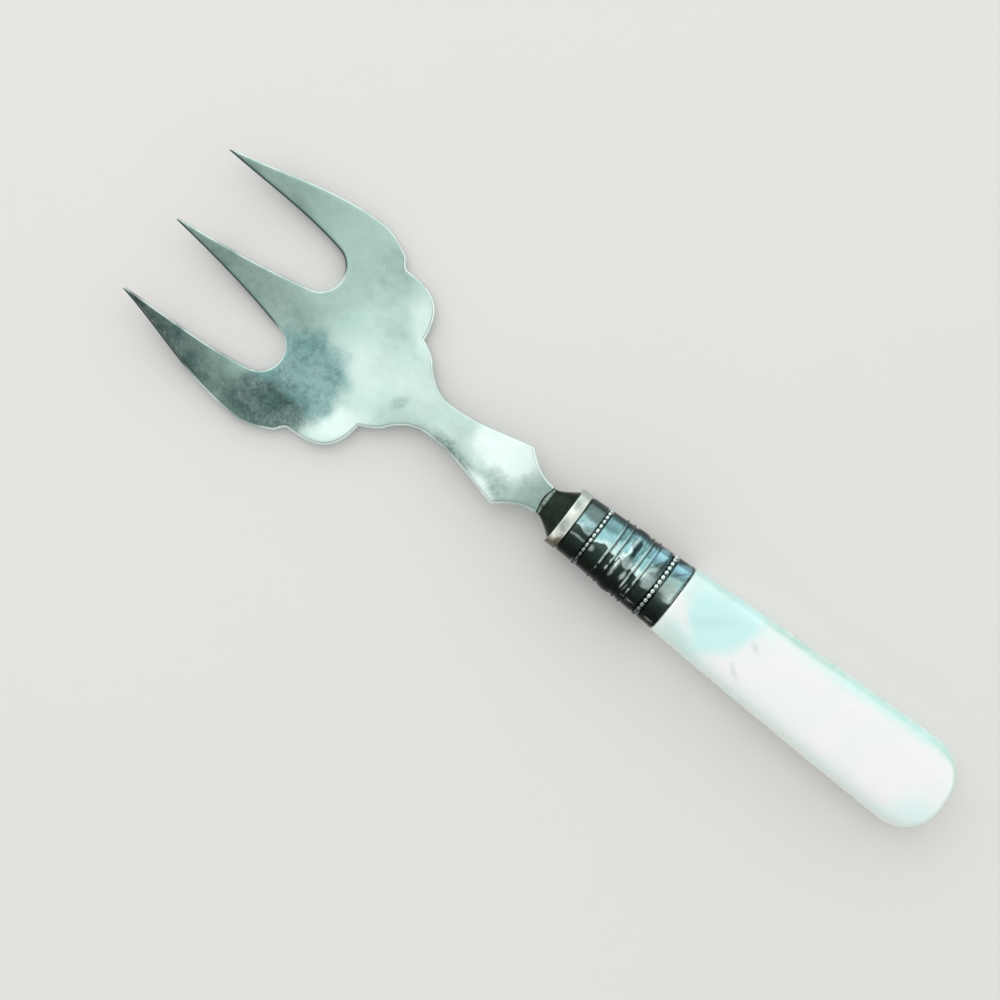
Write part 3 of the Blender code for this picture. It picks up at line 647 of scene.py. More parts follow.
def blackened_and_dark_reflection_silver(settings):
    """Dark silver on the bolster, a painted dark reflection that also stands for blackened silver, with
    painted highlights on its nose facet and along its lit side.
    """
    material, tree, shader, place = new_metal("blackened_bolster")
    haze = placed(tree, "Clouding", vector=place, size=0.0022, low=0.45, high=0.80, detail=4.0)
    edge = attribute(tree, "edge")
    wear_and_highlight = placed(tree, "Edge Wear", edge=edge, vector=place, start=0.1, full=0.9, patch_size=0.0008)
    base = tint(tree, times(tree, haze, 0.08), settings.dark, settings.worn)
    base = tint(tree, times(tree, wear_and_highlight, 0.95), base, settings.worn)
    scratches = crossed_scratches(tree, place, 0.00016, (70, -80))
    roughness = sum_up(tree, "MULTIPLY_ADD", haze, 0.15, 0.26)
    dress(tree, shader, base, roughness, scratches, -0.000004)
    return material


# Marks on the collar: station, offset, half length, half width, finish and strength
COLLAR_MARKS = (
    (0.0973, -0.0034, 0.0006, 0.0012, "mottle", 0.60),
    (0.0969, 0.0004, 0.0005, 0.0018, "mottle", 0.50),
    (0.0975, 0.0014, 0.0008, 0.0010, "mottle", 0.50),
    (0.0979, 0.0024, 0.0005, 0.0006, "mottle", 0.45),
    (0.0974, 0.0036, 0.0009, 0.0008, "warm", 0.80),
    (0.0987, 0.0048, 0.0009, 0.0013, "brassy", 0.90),
)
# Softness of those marks, and the depth and size of their ragged edge
COLLAR_RAG = (0.6, 0.0015, 0.0010)


def worn_silver(settings):
    """Warm worn silver on the collar, mottled grey, with base metal showing at one end."""
    material, tree, shader, place = new_metal("rubbed_collar")
    parts = split(tree, place)
    mottle = placed(tree, "Clouding", vector=place, size=0.0012, low=0.48, high=0.68, detail=5.0)
    dull_end = ramp(tree, parts["Y"], 0.10 * COLLAR_LOW.y, 0.80 * COLLAR_LOW.y)
    worn_end = ramp(tree, parts["Y"], 0.62 * COLLAR_HIGH.y, 0.92 * COLLAR_HIGH.y)
    base = tint(tree, times(tree, mottle, 0.22), settings.warm, settings.mottle)
    base = tint(tree, times(tree, dull_end, 0.70), base, settings.mottle)
    for station, offset, half_length, half_width, finish, strength in COLLAR_MARKS:
        mask = patch_mask(tree, place, station, offset, 0.0, half_length, half_width, *COLLAR_RAG)
        base = tint(tree, times(tree, mask, strength), base, getattr(settings, finish))
    base = tint(tree, times(tree, worn_end, 0.95), base, settings.brassy)
    edge = attribute(tree, "edge")
    wear_and_highlight = placed(tree, "Edge Wear", edge=edge, vector=place, start=0.45, full=1.0, patch_size=0.003)
    base = tint(tree, times(tree, wear_and_highlight, 0.6), base, settings.warm)
    scratches = crossed_scratches(tree, place, 0.00018, (84, 97))
    roughness = sum_up(tree, "MULTIPLY_ADD", mottle, 0.14, 0.28)
    dress(tree, shader, base, roughness, scratches, -0.000006)
    return material


# Painted reflections on the ferrule: station, offset, turn in degrees, half length, half width, softness,
# finish and strength. The sky, grey and bead rows are painted lit patches and highlights, and the patina
# rows dark shapes in the reflection
FERRULE_MARKS = (
    (0.1165, -0.0049, 57, 0.0024, 0.0013, 0.30, "sky", 0.90),
    (0.1217, -0.0051, 41, 0.0024, 0.0012, 0.30, "sky", 0.80),
    (0.1174, -0.0022, 57, 0.0024, 0.0009, 0.50, "grey", 0.70),
    (0.1215, -0.0008, 0, 0.0019, 0.0024, 0.70, "grey", 0.90),
    (0.1181, -0.0040, 0, 0.0004, 0.0032, 0.60, "patina", 0.75),
    (0.1168, -0.0030, 57, 0.0019, 0.0003, 0.60, "patina", 0.45),
    (0.1217, -0.0044, 41, 0.0019, 0.0003, 0.60, "patina", 0.45),
    (0.1236, -0.0055, 0, 0.0003, 0.0022, 0.50, "patina", 0.80),
    (0.1167, -0.0002, 10, 0.0014, 0.0005, 0.50, "bead", 0.70),
    (0.1110, -0.0022, 0, 0.0003, 0.0028, 0.60, "bead", 0.70),
    (0.1119, -0.0032, 0, 0.0005, 0.0022, 0.35, "patina", 0.85),
    (0.1011, 0.0018, 0, 0.0018, 0.0003, 0.45, "bead", 0.50),
    (0.1046, 0.0020, 0, 0.0005, 0.0005, 0.60, "bead", 0.60),
    (0.1104, 0.0020, 0, 0.0004, 0.0017, 0.60, "bead", 0.75),
    (0.1127, 0.0025, 0, 0.0004, 0.0009, 0.60, "bead", 0.75),
    (0.1143, 0.0041, 0, 0.0003, 0.0010, 0.60, "grey", 0.65),
    (0.1163, 0.0057, 0, 0.0013, 0.0002, 0.60, "grey", 0.55),
    (0.1221, 0.0063, 0, 0.0009, 0.0002, 0.60, "grey", 0.50),
)
# Depth and size of the ragged edge of those marks
FERRULE_RAG = (0.0009, 0.0012)
# Distances behind the ferrule's front edge: where its front end stops, and where its rear part starts
FRONT_END = (0.0040, 0.0034)
REAR_PART = (0.0065, 0.0110)
# Heights over the axis between which the patina and painted dark reflection close all round
PATINA_AND_REFLECTION_RISE = (0.0018, -0.0005)
# Heights over the plain surface that mark the crests of the threads, the fine lines and the grooves
CREST_RELIEF = (0.00010, 0.00023)
LINE_RELIEF = (-0.00001, -0.00006)
GROOVE_RELIEF = (-0.00012, -0.00020)
# How far the edge of the patina and painted dark reflection changes from one stretch of the ferrule to
# the next
STRETCH_SEED_STEP = 1.37


def stretch_number(tree, x, settings):
    """Which of the ferrule's stretches a place lies on, counted from the front."""
    front, rear = settings.front_bead_inset, FERRULE_LENGTH - settings.rear_bead_inset
    middle, half = (front + rear) / 2, settings.half_round_length / 2
    places = [half, half + 0.5 * settings.thread_pitch, half + 1.5 * settings.thread_pitch]
    ends = [front, rear] + [middle + side * place for place in places for side in (-1, 1)]
    count = 0.0
    for station in ends:
        count = sum_up(tree, "ADD", count, sum_up(tree, "LESS_THAN", x, FERRULE_HIGH.x - station))
    return count


def patina_and_reflection_silver(settings):
    """Painted reflection on the ferrule: blue and pale silver with painted highlights on the lit side,
    patina with a painted dark reflection past the middle and below, and black patina in its recesses.
    """
    material, tree, shader, place = new_metal("oxidised_ferrule")
    parts = split(tree, place)
    front, rear = (half[0] for half in ferrule_ends())
    taper = (front - rear) / FERRULE_LENGTH
    half_width = sum_up(tree, "MULTIPLY_ADD", parts["X"], taper, front - taper * FERRULE_HIGH.x)
    across = sum_up(tree, "DIVIDE", parts["Y"], half_width)
    stretch = stretch_number(tree, parts["X"], settings)
    seed = sum_up(tree, "MULTIPLY_ADD", stretch, STRETCH_SEED_STEP, settings.patina_and_reflection_seed)
    inputs = {"Vector": place, "W": seed, "Scale": 300.0, "Detail": 1.0, "Distortion": 0.4}
    blotch = add(tree, "ShaderNodeTexNoise", inputs, noise_dimensions="4D").outputs[0]
    behind = sum_up(tree, "SUBTRACT", FERRULE_HIGH.x, parts["X"])
    rearward = ramp(tree, behind, *REAR_PART)
    uneven = sum_up(tree, "MULTIPLY_ADD", sum_up(tree, "SUBTRACT", blotch, 0.5), 0.75, across)
    shifted = sum_up(tree, "MULTIPLY_ADD", rearward, -0.08, uneven)
    relief = attribute(tree, "relief")
    crest = ramp(tree, relief, *CREST_RELIEF)
    thread = times(tree, crest, off_band(tree, parts["X"], settings))

    # Painted reflection: dark at the lit edge, through blue to pale silver towards the middle
    base = tint(tree, ramp(tree, across, -0.95, -0.74), settings.steel, settings.blue)
    base = tint(tree, ramp(tree, across, -0.74, -0.42), base, settings.pale)
    # Painted highlight: a ragged bright band just before the dark side
    rubbed = ramp(tree, uneven, -0.24, -0.02)
    rubbed = times(tree, rubbed, ramp(tree, rearward, 0.0, 1.0, 0.50, 0.72))
    base = tint(tree, rubbed, base, settings.bead)
    # Painted reflection at the front end: greyer near the middle and darker towards the lit edge
    front_end = ramp(tree, behind, *FRONT_END)
    front_grey = times(tree, front_end, ramp(tree, across, -0.10, -0.45, 0.0, 0.60))
    base = tint(tree, front_grey, base, settings.grey)
    darkened = times(tree, front_end, ramp(tree, across, -0.36, -0.92, 0.0, 0.90))
    base = tint(tree, darkened, base, settings.steel)
    fine = placed(tree, "Clouding", vector=place, size=0.0010, low=0.50, high=0.70, detail=4.0)
    base = tint(tree, times(tree, fine, 0.35), base, settings.steel)

    # Painted glints on the threads across the dark side
    glints = placed(tree, "Clouding", vector=place, size=0.0020, low=0.36, high=0.54, detail=1.0)
    lower_side = ramp(tree, across, 0.80, 0.46)
    glints = times(tree, glints, times(tree, lower_side, thread))
    # Patina together with painted dark reflection: past the ragged edge and below the axis, broken by the
    # glints
    below = ramp(tree, parts["Z"], *(AXIS_HEIGHT + rise for rise in PATINA_AND_REFLECTION_RISE))
    patina = sum_up(tree, "MAXIMUM", ramp(tree, shifted, 0.0, 0.08), below)
    patina = times(tree, patina, ramp(tree, glints, 0.0, 1.0, 1.0, 0.12))
    fine_line = ramp(tree, relief, *LINE_RELIEF, 0.0, 0.60)
    recess = sum_up(tree, "MAXIMUM", fine_line, ramp(tree, relief, *GROOVE_RELIEF, 0.0, 0.78))
    # Painted highlight on the thread crests on the lit side
    thread_lit = times(tree, thread, ramp(tree, across, -0.85, -0.35, 0.05, 0.34))
    base = tint(tree, thread_lit, base, settings.bead)
    # Painted dark reflection past the middle: murk near it and patina further out
    dark = tint(tree, ramp(tree, across, 0.25, 0.72), settings.murk, settings.patina)
    base = tint(tree, patina, base, dark)
    base = tint(tree, recess, base, settings.patina)
    for *patch, finish, strength in FERRULE_MARKS:
        mask = patch_mask(tree, place, *patch, *FERRULE_RAG)
        kept = sum_up(tree, "SUBTRACT", strength, sum_up(tree, "MAXIMUM", recess, below), clamp=True)
        base = tint(tree, times(tree, mask, kept), base, getattr(settings, finish))
    scratches = crossed_scratches(tree, place, 0.00016, (88, 93))
    roughness = sum_up(tree, "MULTIPLY_ADD", fine, 0.08, 0.14)
    dress(tree, shader, base, roughness, scratches, -0.000003)
    return material


def off_band(tree, x, settings):
    """A mask that is 0 on the broad rolled band and 1 on both sides of it."""
    front, rear = settings.front_bead_inset, FERRULE_LENGTH - settings.rear_bead_inset
    middle, half = FERRULE_HIGH.x - (front + rear) / 2, settings.half_round_length / 2
    from_band = sum_up(tree, "ABSOLUTE", sum_up(tree, "SUBTRACT", x, middle))
    return ramp(tree, from_band, half, half + 0.0002)


# How much further round the front beads are darkened than the rear ones, the offset at which the rear
# ones start to darken, and the share of the ferrule's half width at which they are darkest, as painted
# shade towards the far side
BEAD_LEAN = 0.10
BEAD_SHADE_START = 0.0015
BEAD_SHADE_SHARE = 0.9


def bead_silver(settings):
    """Bright bead crowns, rubbed and with a painted highlight that fades as painted shade towards the far
    side, with black patina down between them.
    """
    material, tree, shader, place = new_metal("bright_beads")
    crown = ramp(tree, attribute(tree, "crown"), 0.05, 0.40)
    fine = placed(tree, "Clouding", vector=place, size=0.0009, low=0.42, high=0.66, detail=3.0)
    # The crowns are rubbed bright and carry a painted highlight
    rubbed = times(tree, crown, ramp(tree, fine, 0.0, 1.0, 1.0, 0.72))
    parts = split(tree, place)
    across = sum_up(tree, "MULTIPLY_ADD", parts["X"], BEAD_LEAN, parts["Y"])
    rear_row = BEAD_LEAN * (FERRULE_HIGH.x - FERRULE_LENGTH + settings.rear_bead_inset)
    start, end = rear_row + BEAD_SHADE_START, rear_row + BEAD_SHADE_SHARE * FERRULE_HIGH.y
    # Painted shade: the crowns fade towards the far side of the ferrule
    rubbed = times(tree, rubbed, ramp(tree, across, start, end, 1.0, 0.15))
    base = tint(tree, rubbed, settings.patina, settings.bead)
    roughness = sum_up(tree, "MULTIPLY_ADD", rubbed, -0.12, 0.32)
    dress(tree, shader, base, roughness)
    return material


# Flaws within the pearl and painted shade: station, offset, turn in degrees, half length, half width,
# softness, finish and strength. The cool and edge rows and the smudge along the lit edge are painted
# greenish shade; the other smudges are flaws
PEARL_FLAWS_AND_SHADE = (
    (0.1334, -0.0016, 50, 0.0092, 0.0056, 0.35, "cool", 0.85),
    (0.1271, -0.0046, 0, 0.0044, 0.0030, 0.60, "cool", 0.60),
    (0.1267, 0.0018, 143, 0.0042, 0.0012, 0.75, "pearl", 0.70),
    (0.1320, -0.0006, 36, 0.0052, 0.0012, 0.80, "smudge", 0.16),
    (0.1390, -0.0040, 30, 0.0036, 0.0016, 0.80, "cool", 0.35),
    (0.1280, 0.0056, -12, 0.0050, 0.0014, 0.80, "edge", 0.45),
    (0.1865, 0.0045, 30, 0.0042, 0.0024, 0.80, "cool", 0.40),
    (0.1720, -0.0084, 6, 0.0190, 0.0014, 0.80, "cool", 0.40),
    (0.1325, -0.0079, 8, 0.0100, 0.0013, 0.80, "smudge", 0.30),
    (0.1420, -0.0018, -38, 0.0011, 0.0006, 0.80, "smudge", 0.32),
    (0.1412, 0.0041, -38, 0.0015, 0.0005, 0.80, "smudge", 0.32),
)
# Depth and size of the ragged edge of those flaws
PEARL_RAG = (0.003, 0.005)
# Depths below the grip's top: where the layers show more, where the painted green shade at the edge
# starts and fades, where the painted yellow reflection starts, and where the flaws fade
LAYER_DROP = (0.0012, 0.0045)
GREEN_DROP = (0.0001, 0.0014)
GREEN_FADE_DROP = (0.0022, 0.0060)
YELLOW_DROP = (0.0020, 0.0036)
FLAW_FADE_DROP = (0.0022, 0.0056)
# Offsets between which the painted green shade grows fainter and the painted yellow reflection comes in
GREEN_OFFSETS = (-0.003, 0.003)
YELLOW_OFFSETS = (0.002, 0.007)
# How far the layers swirl, and which way they lie
SWIRL_REACH = 0.018
LAYER_TURN = (0.3, 0.0, math.radians(38))


def mother_of_pearl(settings):
    """Pearl laid down in wavy layers, with a cool and a rose sheen and grey flaws, painted green shade
    along its sides and a painted yellow reflection low along one side.
    """
    material, tree, shader, place = new_material("layered_pearl")
    shader.inputs["IOR"].default_value = 1.55
    shader.inputs["Coat Weight"].default_value = 0.35
    shader.inputs["Coat Roughness"].default_value = 0.08
    inputs = {"Vector": place, "Scale": 60.0, "Detail": 2.0}
    swirl = add(tree, "ShaderNodeTexNoise", inputs).outputs["Color"]
    bent = scaled(tree, swirl, SWIRL_REACH)
    layered = vector_sum(tree, "ADD", place, bent)
    turned = add(tree, "ShaderNodeMapping", {"Vector": layered, "Rotation": LAYER_TURN}).outputs[0]
    inputs = {"Vector": turned, "Scale": 26.0, "Distortion": 2.5, "Detail": 1.0}
    broad = add(tree, "ShaderNodeTexWave", inputs).outputs["Fac"]
    inputs = {"Vector": turned, "Scale": 95.0, "Distortion": 4.0, "Detail": 2.0}
    narrow = add(tree, "ShaderNodeTexWave", inputs).outputs["Fac"]
    parts = split(tree, place)
    drop = sum_up(tree, "SUBTRACT", HANDLE_HIGH.z, parts["Z"])
    lower = ramp(tree, drop, *LAYER_DROP)
    bands = ramp(tree, broad, 0.35, 1.0)
    lines = ramp(tree, narrow, 0.20, 1.0)
    cool = times(tree, bands, ramp(tree, lower, 0.0, 1.0, 0.10, 0.28))
    rose = times(tree, lines, ramp(tree, lower, 0.0, 1.0, 0.16, 0.40))
    # Painted shade: green along the sides of the grip, fainter towards the +Y side
    green = times(tree, ramp(tree, drop, *GREEN_DROP), ramp(tree, drop, *GREEN_FADE_DROP, 1.0, 0.30))
    green = times(tree, green, ramp(tree, parts["Y"], *GREEN_OFFSETS, 1.0, 0.40))
    base = tint(tree, green, settings.pearl, settings.edge)
    # Painted reflection: yellow low along the +Y side, fainter where the broad layers show
    yellow = times(tree, ramp(tree, parts["Y"], *YELLOW_OFFSETS), ramp(tree, drop, *YELLOW_DROP))
    yellow = times(tree, yellow, ramp(tree, bands, 0.0, 1.0, 0.50, 0.15))
    base = tint(tree, yellow, base, settings.rim)
    base = tint(tree, cool, base, settings.cool)
    base = tint(tree, rose, base, settings.rose)
    shallow = ramp(tree, drop, *FLAW_FADE_DROP, 1.0, 0.25)
    for *patch, finish, strength in PEARL_FLAWS_AND_SHADE:
        mask = times(tree, patch_mask(tree, place, *patch, *PEARL_RAG), shallow)
        base = tint(tree, times(tree, mask, strength), base, getattr(settings, finish))
    scratches = crossed_scratches(tree, place, 0.00020, (3, -6))
    roughness = ramp(tree, narrow, 0.0, 1.0, 0.16, 0.24)
    dress(tree, shader, base, roughness, scratches, -0.000003)
    return material


def cutlers_cement(settings):
    """Dark resin and brick-dust cement, grainy and dull."""
    material, tree, shader, place = new_material("brick_dust_cement")
    grain = placed(tree, "Clouding", vector=place, size=0.0006, low=0.35, high=0.70, detail=4.0)
    base = tint(tree, grain, settings.cement, tuple(0.55 * part for part in settings.cement))
    dress(tree, shader, base, ramp(tree, grain, 0.0, 1.0, 0.70, 0.88), grain, 0.00004)
    return material


# Mesh building

def clean_mesh(name, points, faces, sharp=SHARP_ANGLE):
    """A closed mesh with its faces outwards, smooth but for its corners."""
    mesh = bpy.data.meshes.new(name)
    mesh.from_pydata([tuple(point) for point in points], [], faces)
    bm = bmesh.new()
    bm.from_mesh(mesh)
    bmesh.ops.recalc_face_normals(bm, faces=bm.faces)
    bm.to_mesh(mesh)
    bm.free()
    mesh.shade_smooth()
    mesh.set_sharp_from_angle(angle=sharp)
    return mesh


def store(mesh, name, values):
    """Keep one value for each point, for the material to read."""
    layer = mesh.attributes.new(name, "FLOAT", "POINT")
    layer.data.foreach_set("value", np.asarray(values, np.float32))


def add_piece(name, mesh, material, node):
    """Link a finished mesh in the place of a plain solid."""
    mesh.materials.clear()
    mesh.materials.append(material)
    piece = bpy.data.objects.new(name, mesh)
    bpy.context.scene.collection.objects.link(piece)
    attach(piece, BODY)
    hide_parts(node)
    return piece


def oval_part(turn, squareness):
    """Cosine or sine values bent from a circle to a squarer oval."""
    return np.sign(turn) * np.abs(turn) ** (2 / squareness)


def oval(x, half_width, half_height, squareness):
    """One cross-section square to the fork, round its middle axis."""
    turns = np.linspace(0, math.tau, RING_POINTS, endpoint=False)
    across = half_width * oval_part(np.cos(turns), squareness)
    up = half_height * oval_part(np.sin(turns), squareness)
    return np.column_stack((np.full(RING_POINTS, x), across, AXIS_HEIGHT + up))


def band_faces(rows, count, closed):
    """Quads between rows of points that each run in a ring."""
    faces = []
    for row in range(rows if closed else rows - 1):
        near, far = row * count, (row + 1) % rows * count
        for i in range(count):
            j = (i + 1) % count
            faces.append((near + i, near + j, far + j, far + i))
    return faces


def quarter(steps):
    """Cosines and sines of a quarter turn, from the start of a rounding to its end."""
    turns = np.linspace(0, math.pi / 2, steps + 1)
    return zip(1 - np.cos(turns), 1 - np.sin(turns))


def heading(degrees):
    return Vector((math.cos(math.radians(degrees)), math.sin(math.radians(degrees))))


def swing(start, start_heading, end, end_heading, step, fullness=FULLNESS):
    """Points of a curve from start to end with the given headings, without its last point."""
    start, end = Vector(start), Vector(end)
    reach = fullness * (end - start).length
    leave = start + reach * heading(start_heading)
    arrive = end - reach * heading(end_heading)
    points = interpolate_bezier(start, leave, arrive, end, 2 + math.ceil((end - start).length / step))
    return [(point.x, point.y) for point in points[:-1]]


def slot_root(root_heading, side):
    """Where a tine edge meets the round end of its slot."""
    station = TINE_LENGTH - SLOT_RADIUS + SLOT_RADIUS * abs(math.sin(math.radians(root_heading)))
    return station, SLOT_OFFSET + side * SLOT_RADIUS * math.cos(math.radians(root_heading))


def slot_arc(step):
    """The round end of a slot, from the middle tine's root to the outer tine's root."""
    first, last = math.radians(MIDDLE_ROOT_HEADING - 90), math.radians(INNER_ROOT_HEADING + 90)
    turns = np.linspace(first, last, math.ceil((last - first) * SLOT_RADIUS / step), endpoint=False)
    stations = TINE_LENGTH - SLOT_RADIUS + SLOT_RADIUS * np.cos(turns)
    return list(zip(stations, SLOT_OFFSET + SLOT_RADIUS * np.sin(turns)))


def tine_edges(step):
    """The middle tine's edge, and the outer tine's inner and outer edges, from their tips back."""
    inner_tip, outer_tip = OUTER_TIP_OFFSET - TIP_WIDTH / 2, OUTER_TIP_OFFSET + TIP_WIDTH / 2
    middle_root = slot_root(MIDDLE_ROOT_HEADING, -1)
    inner_root = slot_root(INNER_ROOT_HEADING, 1)
    middle = swing((0, TIP_WIDTH / 2), MIDDLE_TINE_HEADING, middle_root, MIDDLE_ROOT_HEADING, step)
    inner = swing((0, inner_tip), INNER_TINE_HEADING, inner_root, INNER_ROOT_HEADING, step)
    inner.append(inner_root)
    outer = swing((0, outer_tip), OUTER_TINE_HEADING, (CREST, HEAD_WIDTH / 2), 0, step)
    return middle, inner, outer


def half_outline(step):
    """The plate's edge on one side, from the middle tine's tip round to the end of the tang."""
    crest, shoulder = (CREST, HEAD_WIDTH / 2), (STEP, STEP_WIDTH / 2)
    notch, lobe_end = (NOTCH, NOTCH_WIDTH / 2), (LOBE_END, LOBE_END_WIDTH / 2)
    small_lobe_end, waist = (SMALL_LOBE_END, SMALL_LOBE_WIDTH / 2), (WAIST, WAIST_WIDTH / 2)
    diamond, neck = (DIAMOND, DIAMOND_WIDTH / 2), (NECK, NECK_WIDTH / 2)
    middle, inner, outer = tine_edges(step)
    edge = middle + slot_arc(step) + inner[::-1] + outer
    edge += swing(crest, 0, shoulder, SHOULDER_HEADING, step)
    edge += swing(shoulder, STEP_HEADING, notch, 0, step)
    edge += swing(notch, 0, lobe_end, LOBE_HEADING, step, LOBE_FULLNESS)
    edge += swing(lobe_end, SMALL_LOBE_HEADINGS[0], small_lobe_end, SMALL_LOBE_HEADINGS[1], step)
    edge += swing(small_lobe_end, SWEEP_HEADING, waist, 0, step)
    edge += swing(waist, 0, diamond, DIAMOND_HEADING, step)
    edge += swing(diamond, TAPER_HEADING, neck, 0, step)
    return edge + [neck, (NECK, TANG_WIDTH / 2), (TANG_END, TANG_END_WIDTH / 2)]


def edge_distance(points, edge):
    """How far each point lies from the plate's edge."""
    starts = np.array(edge)
    runs = np.roll(starts, -1, axis=0) - starts
    nearest = []
    for block in np.array_split(np.asarray(points, float), 1 + len(points) // POINT_BLOCK):
        away = block[:, None, :] - starts
        along = np.clip((away * runs).sum(axis=2) / (runs ** 2).sum(axis=1), 0, 1)
        nearest.append(np.linalg.norm(away - along[..., None] * runs, axis=2).min(axis=1))
    return np.concatenate(nearest)


def inside(points, edge):
    """Which points lie within the plate, by the edges that a line from each one crosses."""
    starts = np.array(edge)
    ends = np.roll(starts, -1, axis=0)
    rise = np.where(starts[:, 1] == ends[:, 1], 1.0, ends[:, 1] - starts[:, 1])
    found = []
    for block in np.array_split(np.asarray(points, float), 1 + len(points) // POINT_BLOCK):
        up = block[:, 1:2]
        spans = (starts[:, 1] > up) != (ends[:, 1] > up)
        cross = starts[:, 0] + (up - starts[:, 1]) * (ends[:, 0] - starts[:, 0]) / rise
        found.append((spans & (block[:, :1] < cross)).sum(axis=1) % 2 == 1)
    return np.concatenate(found)


def rounding_rows(edge, edge_round, first):
    """Rows of points that follow the edge inwards, closer together where it turns down more.

    Gives the points, and the links between neighbours in a row, numbered from first.
    """
    corners = np.array(edge)
    chords = np.roll(corners, -1, axis=0) - np.roll(corners, 1, axis=0)
    inward = np.column_stack((chords[:, 1], -chords[:, 0]))
    inward /= np.linalg.norm(inward, axis=1)[:, None]
    kept, links = [], []
    for turn in np.radians(ROUNDING_TURNS):
        depth = edge_round * (1 - math.cos(turn))
        trial = corners + depth * inward
        fits = (edge_distance(trial, edge) > ROUNDING_SHARE * depth) & inside(trial, edge)
        for i in np.flatnonzero(fits):
            if i and fits[i - 1]:
                links.append((first + len(kept) - 1, first + len(kept)))
            kept.append(tuple(trial[i]))
    return kept, links


def ridge_points(step):
    """Points along the middle of each tine near its tip, where the rounded edges meet in a ridge."""
    _, inner, outer = (np.array(edge) for edge in tine_edges(step))
    stations = np.arange(RIDGE_STEP, RIDGE_LENGTH, RIDGE_STEP)
    offsets = [np.interp(stations, edge[:, 0], edge[:, 1]) for edge in (inner, outer)]
    middle = (offsets[0] + offsets[1]) / 2
    ridges = [(station, offset * side) for side in (-1, 1) for station, offset in zip(stations, middle)]
    return ridges + [(station, 0.0) for station in stations]


def field_points(edge, edge_round, step):
    """An even field of points over the plate, clear of its rounded edge."""
    stations = np.arange(step, TANG_END, step)
    offsets = np.arange(-HEAD_WIDTH / 2, HEAD_WIDTH / 2, step)
    grid = np.array([(station, offset) for station in stations for offset in offsets])
    grid = grid[inside(grid, edge)]
    grid = grid[edge_distance(grid, edge) > edge_round + step / 3]
    return [tuple(point) for point in grid]


def plate_height(station, offset, thickness):
    """Height of the middle surface: raised tips, the belly on the table, the stem up to the tang."""
    belly = thickness / 2
    tips = TIP_RISE * np.clip(1 - station / BELLY, 0, 1) ** 2
    climb = np.clip((station - BELLY) / (NECK - BELLY), 0, 1)
    stem = (AXIS_HEIGHT - belly) * climb ** 2 * (3 - 2 * climb)
    fade = np.clip((WAIST - station) / (WAIST - NOTCH), 0, 1)
    return belly + tips + stem + DISH_DEPTH * fade * (offset / (HEAD_WIDTH / 2)) ** 2


def tine_share(station):
    """Share of the full thickness that is left where the tines thin down to their tips."""
    full = settings_of(bpy.context).head.plate_thickness
    return TIP_THICKNESS / full + (1 - TIP_THICKNESS / full) * np.sin(
        math.pi / 2 * np.clip(station / TIP_TAPER_LENGTH, 0, 1)
    )


def head_mesh(settings):
    """The plate cut to its outline, rounded along its edges down to the neck and bent over its length."""
    half = half_outline(settings.edge_step)
    edge = half + [(station, -offset) for station, offset in reversed(half)]
    rim = len(edge)
    rows, row_links = rounding_rows(edge, settings.edge_round, rim)
    points = edge + rows + ridge_points(settings.edge_step)
    points += field_points(edge, settings.edge_round, settings.field_step)
    links = [(i, (i + 1) % rim) for i in range(rim)]
    spots = [Vector(point) for point in points]
    plan = delaunay_2d_cdt(spots, links + row_links, [], 1, MERGE_DISTANCE)
    flat, _, triangles, sources, _, _ = plan
    flat = np.array([tuple(point) for point in flat])
    sides = half[:-2] + [(TANG_END, NECK_WIDTH / 2)]
    reach = edge_distance(flat, sides + [(station, -offset) for station, offset in reversed(sides)])
    drop = 1 - np.clip(reach / settings.edge_round, 0, 1)
    swell = np.sqrt(1 - drop ** 2)
    rim_thickness, full_thickness = settings.rim_thickness, settings.plate_thickness
    half_thickness = (rim_thickness + swell * (full_thickness - rim_thickness)) / 2
    half_thickness *= tine_share(flat[:, 0])
    middle = plate_height(flat[:, 0], flat[:, 1], settings.plate_thickness)
    x = TIP_X - flat[:, 0]
    top = np.column_stack((x, flat[:, 1], middle + half_thickness))
    bottom = np.column_stack((x, flat[:, 1], middle - half_thickness))
    count = len(flat)
    faces = [tuple(triangle) for triangle in triangles]
    faces += [tuple(count + i for i in reversed(triangle)) for triangle in triangles]
    place = {source: i for i, found in enumerate(sources) for source in found}
    for first, second in links:
        a, b = place[first], place[second]
        faces.append((a, b, count + b, count + a))
    mesh = clean_mesh("silver_fork_head", np.concatenate((top, bottom)), faces)
    store(mesh, "edge", np.concatenate((drop, drop)))
    store(mesh, "facing", [normal.vector.y for normal in mesh.vertex_normals])
    return mesh


def tang_slot():
    """Half sizes of the slot that the tang passes through."""
    thickness = settings_of(bpy.context).head.plate_thickness
    return TANG_WIDTH / 2 + FIT_GAP, thickness / 2 + FIT_GAP


def bulged(ring, slot, share):
    """A section of the bolster's front, pushed forward over the middle of the tang."""
    pushed = ring.copy()
    pushed[:, 0] += share * NOSE_BULGE * np.clip(1 - (ring[:, 1] / slot[0]) ** 2, 0, None)
    return pushed


def facet_highlight(station, settings):
    """How much painted highlight the nose gets: dark at the joint with the plate, pale on the facet, dark
    behind it.
    """
    past_joint = np.clip((station - settings.joint_line) / FACET_FADE, 0, 1)
    return past_joint * np.clip((settings.facet_length - station) / FACET_FADE, 0, 1)


def side_highlight(station, across):
    """A thin painted highlight along the lit side of the bolster's front half."""
    lit = np.clip((-across - SIDE_HIGHLIGHT_START) / (SIDE_HIGHLIGHT_FULL - SIDE_HIGHLIGHT_START), 0, 1)
    return SIDE_HIGHLIGHT * lit * np.clip((SIDE_HIGHLIGHT_LENGTH - station) / SIDE_HIGHLIGHT_FADE, 0, 1)


